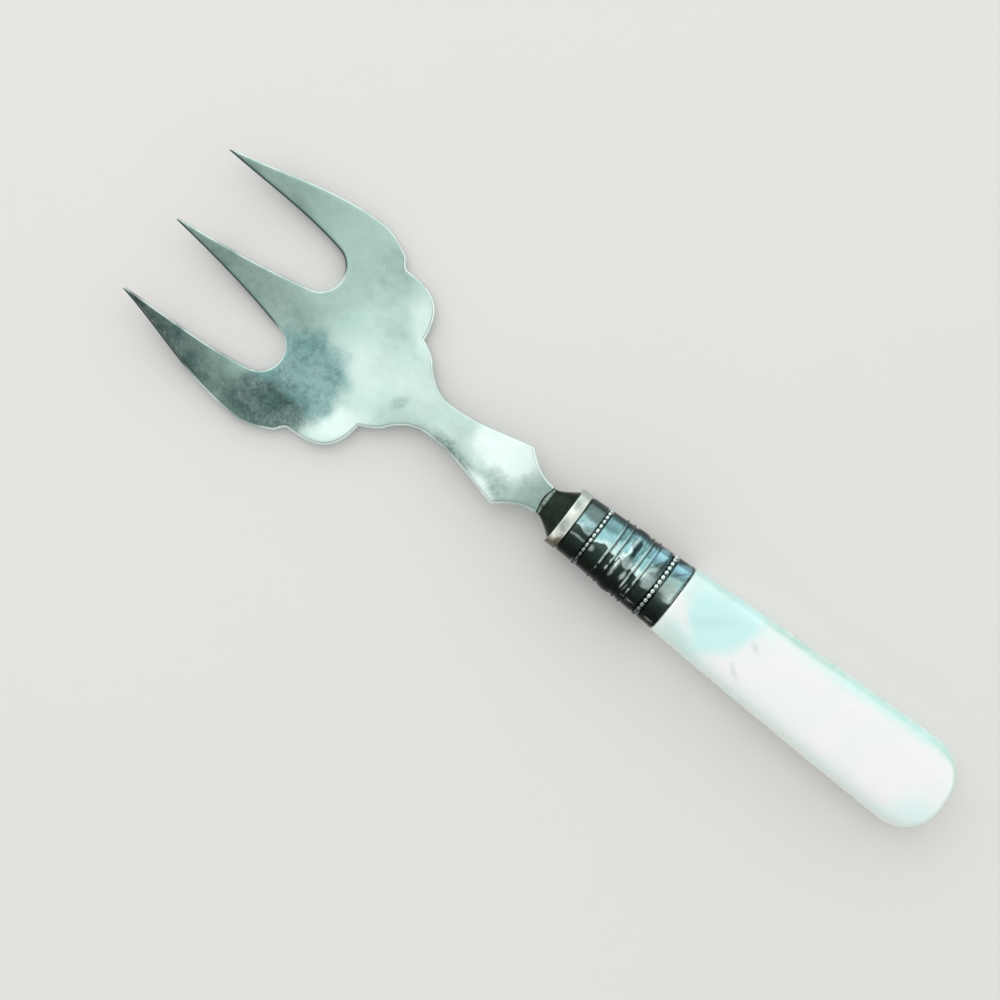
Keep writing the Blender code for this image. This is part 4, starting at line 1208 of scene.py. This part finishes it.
def bolster_mesh(settings):
    """A bulged nose round the tang that flares in a hollow curve to the collar."""
    slot = np.array(tang_slot())
    nose = slot + BOLSTER_WALL
    rear = np.array((BOLSTER_HIGH.y, BOLSTER_HIGH.z - AXIS_HEIGHT))
    front_x, rear_x = TIP_X - NECK - SOLDER_GAP, COLLAR_HIGH.x + SOLDER_GAP
    long, start = front_x - rear_x, settings.nose_length
    cut = np.array((settings.side_cut, settings.nose_cut))
    rows = [(start * forward, nose - cut * inward) for forward, inward in quarter(NOSE_STEPS)]
    stop = long - settings.rim_round
    for reach in np.linspace(0, 1, FLARE_RINGS)[1:]:
        rows.append((start + reach * (stop - start), nose + (rear - nose) * reach ** BOLSTER_FLARE))
    for forward, inward in list(quarter(RIM_STEPS))[-2::-1]:
        rows.append((long - settings.rim_round * forward, rear - settings.rim_round * inward))
    rings, worn = [], []
    for station, half in rows:
        ring = bulged(oval(front_x - station, *half, OVAL), slot, max(0.0, 1 - station / start))
        rings.append(ring)
        # The stored edge value marks the painted highlights on the nose facet and along the lit side
        worn.append(np.maximum(facet_highlight(station, settings), side_highlight(station, ring[:, 1] / half[0])))
    rings.append(oval(rear_x, *slot, SLOT_OVAL))
    rings.append(bulged(oval(front_x, *slot, SLOT_OVAL), slot, 1.0))
    worn += [np.zeros(RING_POINTS), np.zeros(RING_POINTS)]
    mesh = clean_mesh("dark_bolster", np.concatenate(rings), band_faces(len(rings), RING_POINTS, True))
    store(mesh, "edge", np.concatenate(worn))
    return mesh


def flared(ring, reach):
    """A section of the collar's front, pushed forward at its two ends, clear of the bolster."""
    past_bolster = (np.abs(ring[:, 1]) - BOLSTER_HIGH.y) / (COLLAR_HIGH.y - BOLSTER_HIGH.y)
    pushed = ring.copy()
    pushed[:, 0] += reach * np.clip(past_bolster, 0, 1)
    return pushed


def collar_mesh(settings):
    """An oval washer with both edges rounded and its two ends bent a little forward."""
    half = np.array((COLLAR_HIGH.y, COLLAR_HIGH.z - AXIS_HEIGHT))
    radius, flare = settings.collar_round, settings.collar_flare
    front = [(radius * forward, half - radius * inward) for forward, inward in quarter(COLLAR_STEPS)]
    middle = (COLLAR_LOW.x + COLLAR_HIGH.x) / 2
    rings = [flared(oval(COLLAR_HIGH.x - station, *size, OVAL), flare) for station, size in front]
    edges = [np.full(RING_POINTS, 1 - i / len(front)) for i in range(len(front))]
    rings.append(oval(middle, *half, OVAL))
    edges.append(np.zeros(RING_POINTS))
    rings += [oval(COLLAR_LOW.x + station, *size, OVAL) for station, size in reversed(front)]
    edges += edges[len(front) - 1::-1]
    for x in (COLLAR_LOW.x, COLLAR_HIGH.x):
        rings.append(oval(x, *tang_slot(), SLOT_OVAL))
        edges.append(np.zeros(RING_POINTS))
    mesh = clean_mesh("worn_collar", np.concatenate(rings), band_faces(len(rings), RING_POINTS, True))
    store(mesh, "edge", np.concatenate(edges))
    return mesh


def half_round(middle, long, rise, steps=12):
    """Profile of a rolled band: stations and heights."""
    turns = np.linspace(0, math.pi, steps + 1)
    return [(middle - long / 2 * math.cos(turn), rise * math.sin(turn)) for turn in turns]


def thread(middle, settings):
    """Profile of one rolled thread, with a fine line sunk behind it."""
    crest = half_round(middle, settings.thread_length, settings.thread_rise)
    line = middle + (settings.thread_length + settings.line_width) / 2
    return crest + groove(line, settings.line_width, settings.line_depth)


def bead_diameter(node):
    """Diameter of the wire that lies in a groove, from its solid."""
    low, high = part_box(node)
    return high.x - low.x


def groove(middle, width, depth):
    """Profile of a square groove."""
    front, rear = middle - width / 2, middle + width / 2
    return [(front, 0), (front, -depth), (rear, -depth), (rear, 0)]


def rounded(profile, radius, steps=3):
    """A profile with its real corners rounded off, but for its two ends."""
    points = [np.array(point, float) for point in profile]
    result = [points[0]]
    for before, corner, after in zip(points, points[1:], points[2:]):
        bend = Vector(corner - before).angle(Vector(after - corner))
        if bend < PLAIN_BEND:
            result.append(corner)
            continue
        back, onward = np.linalg.norm(before - corner), np.linalg.norm(after - corner)
        cut = min(radius, CORNER_SHARE * back, CORNER_SHARE * onward)
        start = corner + cut * (before - corner) / back
        end = corner + cut * (after - corner) / onward
        for way in np.linspace(0, 1, steps + 1):
            result.append((1 - way) ** 2 * start + 2 * way * (1 - way) * corner + way ** 2 * end)
    return result + [points[-1]]


def ferrule_profile(settings):
    """The ferrule's profile: a seat sunk at the collar, bead grooves, threads, band and rear lip."""
    front_bead, rear_bead = settings.front_bead_inset, FERRULE_LENGTH - settings.rear_bead_inset
    middle = (front_bead + rear_bead) / 2
    first = settings.half_round_length / 2 + settings.thread_pitch / 2
    places = [first, first + settings.thread_pitch]
    seat = FERRULE_HIGH.x - COLLAR_LOW.x + SOLDER_GAP
    outside = [(seat, -JOINT_DEPTH), (0, -JOINT_DEPTH), (0, 0)]
    outside += groove(front_bead, settings.front_groove, bead_diameter("front_bead_wire"))
    for place in reversed(places):
        outside += thread(middle - place, settings)
    outside += half_round(middle, settings.half_round_length, settings.half_round_rise, BAND_STEPS)
    for place in places:
        outside += thread(middle + place, settings)
    outside += groove(rear_bead, settings.rear_groove, bead_diameter("rear_bead_wire"))
    lip = FERRULE_LENGTH - settings.rear_lip_length
    outside += [(lip, 0), (lip, settings.rear_lip_rise), (FERRULE_LENGTH, settings.rear_lip_rise)]
    loop = [(seat, -FERRULE_WALL)] + outside + [(FERRULE_LENGTH, -FERRULE_WALL)]
    return rounded(loop, settings.corner_round)


def oval_axis(tree, value, squareness):
    """Node form of oval_part: bend a cosine or sine to a squarer oval."""
    size, power = sum_up(tree, "ABSOLUTE", value), sum_up(tree, "DIVIDE", 2.0, squareness)
    return times(tree, sum_up(tree, "SIGN", value), sum_up(tree, "POWER", size, power))


def kept_value(tree, geometry, name, value):
    """Geometry with a value kept on its points, for the material to read."""
    inputs = {"Geometry": geometry, "Name": name, "Value": value}
    kept = add(tree, "GeometryNodeStoreNamedAttribute", inputs, data_type="FLOAT", domain="POINT")
    return kept.outputs[0]


def sleeve_tree():
    """Wraps a flat profile strip round an oval that tapers, and dents it a little.

    The strip's points hold a station, a height over the sleeve's surface and a turn round it.
    """
    sockets = [("Geometry", "Geometry"), ("Front Half Width", "Float"), ("Front Half Height", "Float")]
    sockets += [("Rear Half Width", "Float"), ("Rear Half Height", "Float"), ("Length", "Float")]
    sockets += [("Squareness", "Float"), ("Dent Depth", "Float"), ("Dent Size", "Float")]
    sockets += [("Dent Seed", "Float"), ("Place", "Vector"), ("Material", "Material")]
    made = [("Geometry", "Geometry")]
    tree, given, result = new_group("Rolled Sleeve", "GeometryNodeTree", sockets, made)
    flat = split(tree, position(tree))
    way = sum_up(tree, "DIVIDE", flat["X"], given["Length"])
    sides = []
    for size, turn in (("Width", "COSINE"), ("Height", "SINE")):
        taper = sum_up(tree, "SUBTRACT", given["Rear Half " + size], given["Front Half " + size])
        half = sum_up(tree, "MULTIPLY_ADD", taper, way, given["Front Half " + size])
        half = sum_up(tree, "ADD", half, flat["Y"])
        bent = oval_axis(tree, sum_up(tree, turn, flat["Z"]), given["Squareness"])
        sides.append(times(tree, half, bent))
    back = times(tree, flat["X"], -1.0)
    wrapped = add(tree, "ShaderNodeCombineXYZ", {0: back, 1: sides[0], 2: sides[1]}).outputs[0]
    stored = kept_value(tree, given["Geometry"], "relief", flat["Y"])
    sleeve = add(tree, "GeometryNodeSetPosition", {"Geometry": stored, "Position": wrapped})
    place = position(tree)
    scale = sum_up(tree, "DIVIDE", 1.0, given["Dent Size"])
    inputs = {"Vector": place, "W": given["Dent Seed"], "Scale": scale, "Detail": 1.0}
    noise = add(tree, "ShaderNodeTexNoise", inputs, noise_dimensions="4D").outputs[0]
    depth = times(tree, given["Dent Depth"], -1.0)
    dent = times(tree, ramp(tree, noise, 0.35, 0.70), depth)
    normal = tree.nodes.new("GeometryNodeInputNormal").outputs[0]
    push = scaled(tree, normal, dent)
    dented = add(tree, "GeometryNodeSetPosition", {"Geometry": sleeve.outputs[0], "Offset": push})
    inputs = {"Geometry": dented.outputs[0], "Translation": given["Place"]}
    moved = add(tree, "GeometryNodeTransform", inputs)
    end_tree(tree, moved.outputs[0], given["Material"], result)
    return tree


def bead_tree():
    """Beads strung at an even pitch on a wire that is bent to an oval."""
    sockets = [("Geometry", "Geometry"), ("Half Width", "Float"), ("Half Height", "Float")]
    sockets += [("Squareness", "Float"), ("Bead Count", "Int"), ("Bead Radius", "Float")]
    sockets += [("Bead Stretch", "Float"), ("Wire Radius", "Float")]
    sockets += [("Place", "Vector"), ("Material", "Material")]
    made = [("Geometry", "Geometry")]
    tree, given, result = new_group("Beaded Wire", "GeometryNodeTree", sockets, made)
    inputs = {"Resolution": TRACK_RESOLUTION, "Radius": 1.0}
    circle = add(tree, "GeometryNodeCurvePrimitiveCircle", inputs, mode="RADIUS")
    flat = split(tree, position(tree))
    across = times(tree, oval_axis(tree, flat["X"], given["Squareness"]), given["Half Width"])
    up = times(tree, oval_axis(tree, flat["Y"], given["Squareness"]), given["Half Height"])
    bent = add(tree, "ShaderNodeCombineXYZ", {0: 0.0, 1: across, 2: up}).outputs[0]
    inputs = {"Geometry": circle.outputs[0], "Position": bent}
    track = add(tree, "GeometryNodeSetPosition", inputs).outputs[0]
    inputs = {"Curve": track, "Count": given["Bead Count"]}
    spaced = add(tree, "GeometryNodeResampleCurve", inputs, mode="COUNT")
    inputs = {"Segments": BEAD_SEGMENTS, "Rings": BEAD_RINGS, "Radius": given["Bead Radius"]}
    ball = add(tree, "GeometryNodeMeshUVSphere", inputs).outputs[0]
    parts = split(tree, position(tree))
    level = sum_up(tree, "DIVIDE", parts["Z"], given["Bead Radius"])
    crown = sum_up(tree, "SUBTRACT", 1.0, times(tree, level, level))
    ball = kept_value(tree, ball, "crown", crown)
    tangent = tree.nodes.new("GeometryNodeInputTangent").outputs[0]
    turn = add(tree, "FunctionNodeAlignRotationToVector", {"Vector": tangent}, axis="Z").outputs[0]
    stretch = add(tree, "ShaderNodeCombineXYZ", {0: 1.0, 1: 1.0, 2: given["Bead Stretch"]}).outputs[0]
    inputs = {"Points": spaced.outputs[0], "Instance": ball, "Rotation": turn, "Scale": stretch}
    beads = add(tree, "GeometryNodeInstanceOnPoints", inputs).outputs[0]
    inputs = {"Resolution": WIRE_SEGMENTS, "Radius": given["Wire Radius"]}
    section = add(tree, "GeometryNodeCurvePrimitiveCircle", inputs, mode="RADIUS").outputs[0]
    wire = add(tree, "GeometryNodeCurveToMesh", {"Curve": track, "Profile Curve": section}).outputs[0]
    joined = tree.nodes.new("GeometryNodeJoinGeometry")
    for part in (wire, beads):
        tree.links.new(part, joined.inputs[0])
    inputs = {"Geometry": joined.outputs[0], "Translation": given["Place"]}
    moved = add(tree, "GeometryNodeTransform", inputs)
    end_tree(tree, moved.outputs[0], given["Material"], result)
    return tree


def end_tree(tree, geometry, material, result):
    """Close a geometry tree: real mesh, smooth shading and material."""
    real = add(tree, "GeometryNodeRealizeInstances", {0: geometry}).outputs[0]
    smooth = add(tree, "GeometryNodeSetShadeSmooth", {"Geometry": real}).outputs[0]
    painted = add(tree, "GeometryNodeSetMaterial", {"Geometry": smooth, "Material": material})
    tree.links.new(painted.outputs[0], result.inputs[0])


def grown_mesh(name, tree, start, inputs):
    """The mesh that a geometry tree makes from a start mesh, with the tree's inputs set by name."""
    carrier = bpy.data.objects.new(name + "_source", start)
    bpy.context.scene.collection.objects.link(carrier)
    modifier = carrier.modifiers.new("Tree", "NODES")
    modifier.node_group = tree
    keys = {item.name: item.identifier for item in tree.interface.items_tree if item.in_out == "INPUT"}
    for socket, value in inputs.items():
        modifier[keys[socket]] = value
    graph = bpy.context.evaluated_depsgraph_get()
    mesh = bpy.data.meshes.new_from_object(carrier.evaluated_get(graph), depsgraph=graph)
    mesh.name = name
    bpy.data.objects.remove(carrier)
    if not mesh.polygons:
        raise RuntimeError(name + " came out empty")
    return mesh


def ferrule_ends():
    """Half sizes of the ferrule's plain surface at its front and at its rear."""
    front = np.array((COLLAR_HIGH.y, COLLAR_HIGH.z - AXIS_HEIGHT)) - COLLAR_LIP
    rear = np.array((settings_of(bpy.context).handle.front_width / 2, AXIS_HEIGHT)) - PEARL_STEP
    return front, rear


def ferrule_mesh(settings, material):
    """The profile strip of the ferrule, wrapped round its oval."""
    profile = ferrule_profile(settings)
    turns = np.linspace(0, math.tau, RING_POINTS, endpoint=False)
    points = [(station, rise, turn) for station, rise in profile for turn in turns]
    strip = bpy.data.meshes.new("ferrule_strip")
    strip.from_pydata(points, [], [face[::-1] for face in band_faces(len(profile), RING_POINTS, True)])
    front, rear = ferrule_ends()
    inputs = {
        "Front Half Width": front[0],
        "Front Half Height": front[1],
        "Rear Half Width": rear[0],
        "Rear Half Height": rear[1],
        "Length": FERRULE_LENGTH,
        "Squareness": OVAL,
        "Dent Depth": settings.dent_depth,
        "Dent Size": settings.dent_size,
        "Dent Seed": float(settings.dent_seed),
        "Place": (FERRULE_HIGH.x, 0.0, AXIS_HEIGHT),
        "Material": material,
    }
    return grown_mesh("reeded_ferrule", sleeve_tree(), strip, inputs)


def bead_mesh(name, node, tree, pitch, material):
    """One beaded wire, sized to the groove that it lies in."""
    low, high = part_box(node)
    radius = (high.x - low.x) / 2
    half = high.y - radius, high.z - AXIS_HEIGHT - radius
    turns = np.linspace(0, math.tau, TRACK_POINTS + 1)
    across, up = half[0] * oval_part(np.cos(turns), OVAL), half[1] * oval_part(np.sin(turns), OVAL)
    track = np.column_stack((across, up))
    around = np.linalg.norm(np.diff(track, axis=0), axis=1).sum()
    inputs = {
        "Half Width": half[0],
        "Half Height": half[1],
        "Squareness": OVAL,
        "Bead Count": round(around / pitch),
        "Bead Radius": radius,
        "Bead Stretch": 0.5 * pitch / radius,
        "Wire Radius": WIRE_SHARE * radius,
        "Place": ((low.x + high.x) / 2, 0.0, AXIS_HEIGHT),
        "Material": material,
    }
    return grown_mesh(name, tree, bpy.data.meshes.new(name + "_start"), inputs)


def flattened(heights):
    """Heights of the grip levelled off softly, so that the tallest just meet its thickness."""
    def eased(height):
        return height / (1 + (np.abs(height) / AXIS_HEIGHT) ** FLATNESS) ** (1 / FLATNESS)
    return AXIS_HEIGHT * eased(heights) / eased(AXIS_HEIGHT + GRIP_FLATTENING)


def grip_ring(x, settings, cut=0.0):
    """One section of the grip, flat above and below, that widens to the rear and closes at the end."""
    station = GRIP_FRONT - x
    body = GRIP_LENGTH - settings.end_length
    along = min(1.0, station / body)
    front, rear = settings.front_width / 2, HANDLE_HIGH.y
    half_width = front + (rear - front) * along + 4 * settings.swell * along * (1 - along)
    past_body = max(0.0, (station - body) / settings.end_length)
    past_round = max(0.0, 1 - (GRIP_LENGTH - station) / settings.edge_round)
    half_width *= max(0.0, 1 - past_body ** PEARL_PLAN) ** (1 / PEARL_PLAN)
    half_height = AXIS_HEIGHT + GRIP_FLATTENING
    half_height *= max(0.0, 1 - past_round ** PEARL_OVAL) ** (1 / PEARL_OVAL)
    ring = oval(x, half_width - cut, half_height - cut, PEARL_OVAL)
    ring[:, 2] = AXIS_HEIGHT + flattened(ring[:, 2] - AXIS_HEIGHT) * (1 - cut / AXIS_HEIGHT)
    return ring


def handle_mesh(settings):
    """The grip, its spigot inside the ferrule and the blind bore that takes the tang and its cement."""
    bore = np.array(tang_slot()) + settings.spigot_bore
    mouth, radius = HANDLE_HIGH.x, settings.front_round
    front, rear = ferrule_ends()
    inset = FERRULE_WALL + FIT_GAP
    rings = [oval(CEMENT_LOW.x, *bore, SLOT_OVAL), oval(mouth, *bore, SLOT_OVAL)]
    rings += [oval(mouth, *(front - inset), OVAL), oval(GRIP_FRONT, *(rear - inset), OVAL)]
    for forward, inward in quarter(GRIP_FRONT_STEPS):
        rings.append(grip_ring(GRIP_FRONT - radius * forward, settings, radius * inward))
    body_end = GRIP_FRONT - (GRIP_LENGTH - settings.end_length)
    for x in np.linspace(GRIP_FRONT - radius, body_end, GRIP_BODY_RINGS)[1:]:
        rings.append(grip_ring(x, settings))
    for turn in np.linspace(0, math.pi / 2, GRIP_END_RINGS)[1:-1]:
        rings.append(grip_ring(body_end - settings.end_length * math.sin(turn), settings))
    points = np.concatenate(rings + [np.array([(HANDLE_LOW.x, 0.0, AXIS_HEIGHT)])])
    faces = band_faces(len(rings), RING_POINTS, False)
    last, tip = (len(rings) - 1) * RING_POINTS, len(points) - 1
    faces.append(tuple(range(RING_POINTS)))
    faces += [(last + i, last + (i + 1) % RING_POINTS, tip) for i in range(RING_POINTS)]
    return clean_mesh("pearl_grip", points, faces)


# Operators

class CUTLERY_OT_effects(Operator):
    """Build the shader groups that the finishes share"""
    bl_idname = "cutlery.fork_effects"
    bl_label = "Shared Effects"

    def execute(self, context):
        for build in (patch_group, clouding_group, scratches_group, edge_rub_and_highlight_group):
            build()
        return {"FINISHED"}


class CUTLERY_OT_head(Operator):
    """Make the fork head from its outline and finish it as tarnished silver plate"""
    bl_idname = "cutlery.fork_head"
    bl_label = "Fork Head"

    def execute(self, context):
        settings = settings_of(context).head
        mesh, material = head_mesh(settings), silver_plate(settings)
        add_piece("silver_fork_head", mesh, material, "fork_head")
        return {"FINISHED"}


class CUTLERY_OT_bolster(Operator):
    """Make the flared bolster and the collar behind it"""
    bl_idname = "cutlery.fork_bolster"
    bl_label = "Bolster and Collar"

    def execute(self, context):
        settings = settings_of(context).bolster
        mesh, material = bolster_mesh(settings), blackened_and_dark_reflection_silver(settings)
        add_piece("dark_bolster", mesh, material, "bolster")
        mesh, material = collar_mesh(settings), worn_silver(settings)
        add_piece("worn_collar", mesh, material, "bolster_collar")
        return {"FINISHED"}


class CUTLERY_OT_ferrule(Operator):
    """Make the reeded ferrule band"""
    bl_idname = "cutlery.fork_ferrule"
    bl_label = "Ferrule Band"

    def execute(self, context):
        settings = settings_of(context).ferrule
        material = patina_and_reflection_silver(settings)
        mesh = ferrule_mesh(settings, material)
        add_piece("reeded_ferrule", mesh, material, "ferrule_band")
        return {"FINISHED"}


class CUTLERY_OT_beads(Operator):
    """Make the two beaded wires in the ferrule's grooves"""
    bl_idname = "cutlery.fork_beads"
    bl_label = "Beaded Wires"

    def execute(self, context):
        settings = settings_of(context).ferrule
        material, tree = bead_silver(settings), bead_tree()
        for name, node in (("front_beads", "front_bead_wire"), ("rear_beads", "rear_bead_wire")):
            mesh = bead_mesh(name, node, tree, settings.bead_pitch, material)
            add_piece(name, mesh, material, node)
        return {"FINISHED"}


class CUTLERY_OT_handle(Operator):
    """Make the mother-of-pearl grip, and finish the cement in its bore"""
    bl_idname = "cutlery.fork_handle"
    bl_label = "Pearl Handle"

    def execute(self, context):
        settings = settings_of(context).handle
        mesh, material = handle_mesh(settings), mother_of_pearl(settings)
        add_piece("pearl_grip", mesh, material, "pearl_handle")
        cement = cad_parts["tang_cement"]
        cement.data.materials.clear()
        cement.data.materials.append(cutlers_cement(settings))
        return {"FINISHED"}


class CUTLERY_OT_stage(Operator):
    """Lay the floor, and set the light and the camera"""
    bl_idname = "cutlery.fork_stage"
    bl_label = "Stage"

    def execute(self, context):
        settings = settings_of(context).stage
        make_floor(settings)
        make_light(settings)
        make_camera(settings)
        context.scene.view_settings.view_transform = "Standard"
        return {"FINISHED"}


def make_floor(settings):
    """A plain round floor whose far rim rises into a low sweep."""
    outer = settings.floor_size / 2
    inner = outer - SWEEP_REACH * settings.sweep_height
    turns = [math.tau * i / FLOOR_SIDES for i in range(FLOOR_SIDES)]
    points = []
    for row in range(SWEEP_ROWS + 1):
        rise = row / SWEEP_ROWS
        reach = inner + (outer - inner) * rise
        level = settings.sweep_height * rise ** 2 - FLOOR_GAP
        points += [(reach * math.cos(turn), reach * math.sin(turn), level) for turn in turns]
    rim = [face[::-1] for face in band_faces(SWEEP_ROWS + 1, FLOOR_SIDES, False)]
    faces = [tuple(range(FLOOR_SIDES))] + rim
    mesh = bpy.data.meshes.new("pale_floor")
    mesh.from_pydata(points, [], faces)
    mesh.shade_smooth()
    material, tree, shader, place = new_material("pale_floor")
    grain = placed(tree, "Clouding", vector=place, size=0.05, low=0.3, high=0.7, detail=5.0)
    darker = tuple(0.9 * part for part in settings.floor)
    base = tint(tree, times(tree, grain, 0.04), settings.floor, darker)
    dress(tree, shader, base, ramp(tree, grain, 0.0, 1.0, 0.70, 0.75))
    mesh.materials.append(material)
    floor = bpy.data.objects.new("pale_floor", mesh)
    bpy.context.scene.collection.objects.link(floor)


def make_light(settings):
    """A surround that is lighter on one side, and one large soft light above the fork."""
    world = bpy.data.worlds.new("studio")
    world.use_nodes = True
    tree = world.node_tree
    direction = tree.nodes.new("ShaderNodeTexCoord").outputs["Generated"]
    parts = split(tree, direction)
    side = ramp(tree, parts["Y"], *SURROUND_SIDES)
    low_down = tint(tree, side, settings.lit_side, settings.far_side)
    surround = tint(tree, ramp(tree, parts["Z"], *SURROUND_HEIGHTS), low_down, settings.zenith)
    tree.links.new(surround, tree.nodes["Background"].inputs["Color"])
    tree.nodes["Background"].inputs["Strength"].default_value = settings.surround
    bpy.context.scene.world = world
    key = bpy.data.lights.new("soft_key", "AREA")
    key.shape = "SQUARE"
    key.size = settings.key_size
    key.energy = settings.key_power
    lamp = bpy.data.objects.new("soft_key", key)
    lamp.location = KEY_PLACE
    lamp.rotation_euler = (-Vector(KEY_PLACE)).to_track_quat("-Z", "Y").to_euler()
    bpy.context.scene.collection.objects.link(lamp)


def make_camera(settings):
    """A camera straight above the fork, turned so that the fork lies across the picture."""
    camera = bpy.data.objects.new("camera", bpy.data.cameras.new("camera"))
    camera.data.lens = settings.camera_lens
    camera.location = (CAMERA_OVER[0], CAMERA_OVER[1], settings.camera_height)
    camera.rotation_euler = (0.0, 0.0, math.radians(CAMERA_TURN))
    camera.data.clip_start = CAMERA_CLIP
    bpy.context.scene.collection.objects.link(camera)
    bpy.context.scene.camera = camera


OPERATORS = (
    CUTLERY_OT_effects,
    CUTLERY_OT_head,
    CUTLERY_OT_bolster,
    CUTLERY_OT_ferrule,
    CUTLERY_OT_beads,
    CUTLERY_OT_handle,
    CUTLERY_OT_stage,
)


class CUTLERY_PT_fork(Panel):
    """Lists the pieces of the fork and their sizes"""
    bl_label = "Cold Meat Fork"
    bl_idname = "CUTLERY_PT_fork"
    bl_space_type = "VIEW_3D"
    bl_region_type = "UI"
    bl_category = "Cutlery"

    def draw(self, context):
        settings = settings_of(context)
        for operator in OPERATORS:
            self.layout.operator(operator.bl_idname)
        for name in ("head", "bolster", "ferrule", "handle", "stage"):
            box = self.layout.box()
            box.label(text=name.title())
            group = getattr(settings, name)
            for key in group.bl_rna.properties.keys():
                if key not in ("rna_type", "name"):
                    box.prop(group, key)


SETTINGS = (HeadSettings, BolsterSettings, FerruleSettings, HandleSettings, StageSettings, ForkSettings)
CLASSES = SETTINGS + OPERATORS + (CUTLERY_PT_fork,)


def register():
    for cls in CLASSES:
        bpy.utils.register_class(cls)
    bpy.types.Scene.cold_meat_fork = PointerProperty(type=ForkSettings)


def unregister():
    del bpy.types.Scene.cold_meat_fork
    for cls in reversed(CLASSES):
        bpy.utils.unregister_class(cls)


def main():
    register()
    bpy.ops.cutlery.fork_effects()
    bpy.ops.cutlery.fork_head()
    bpy.ops.cutlery.fork_bolster()
    bpy.ops.cutlery.fork_ferrule()
    bpy.ops.cutlery.fork_beads()
    bpy.ops.cutlery.fork_handle()
    bpy.ops.cutlery.fork_stage()


if __name__ == "__main__":
    main()
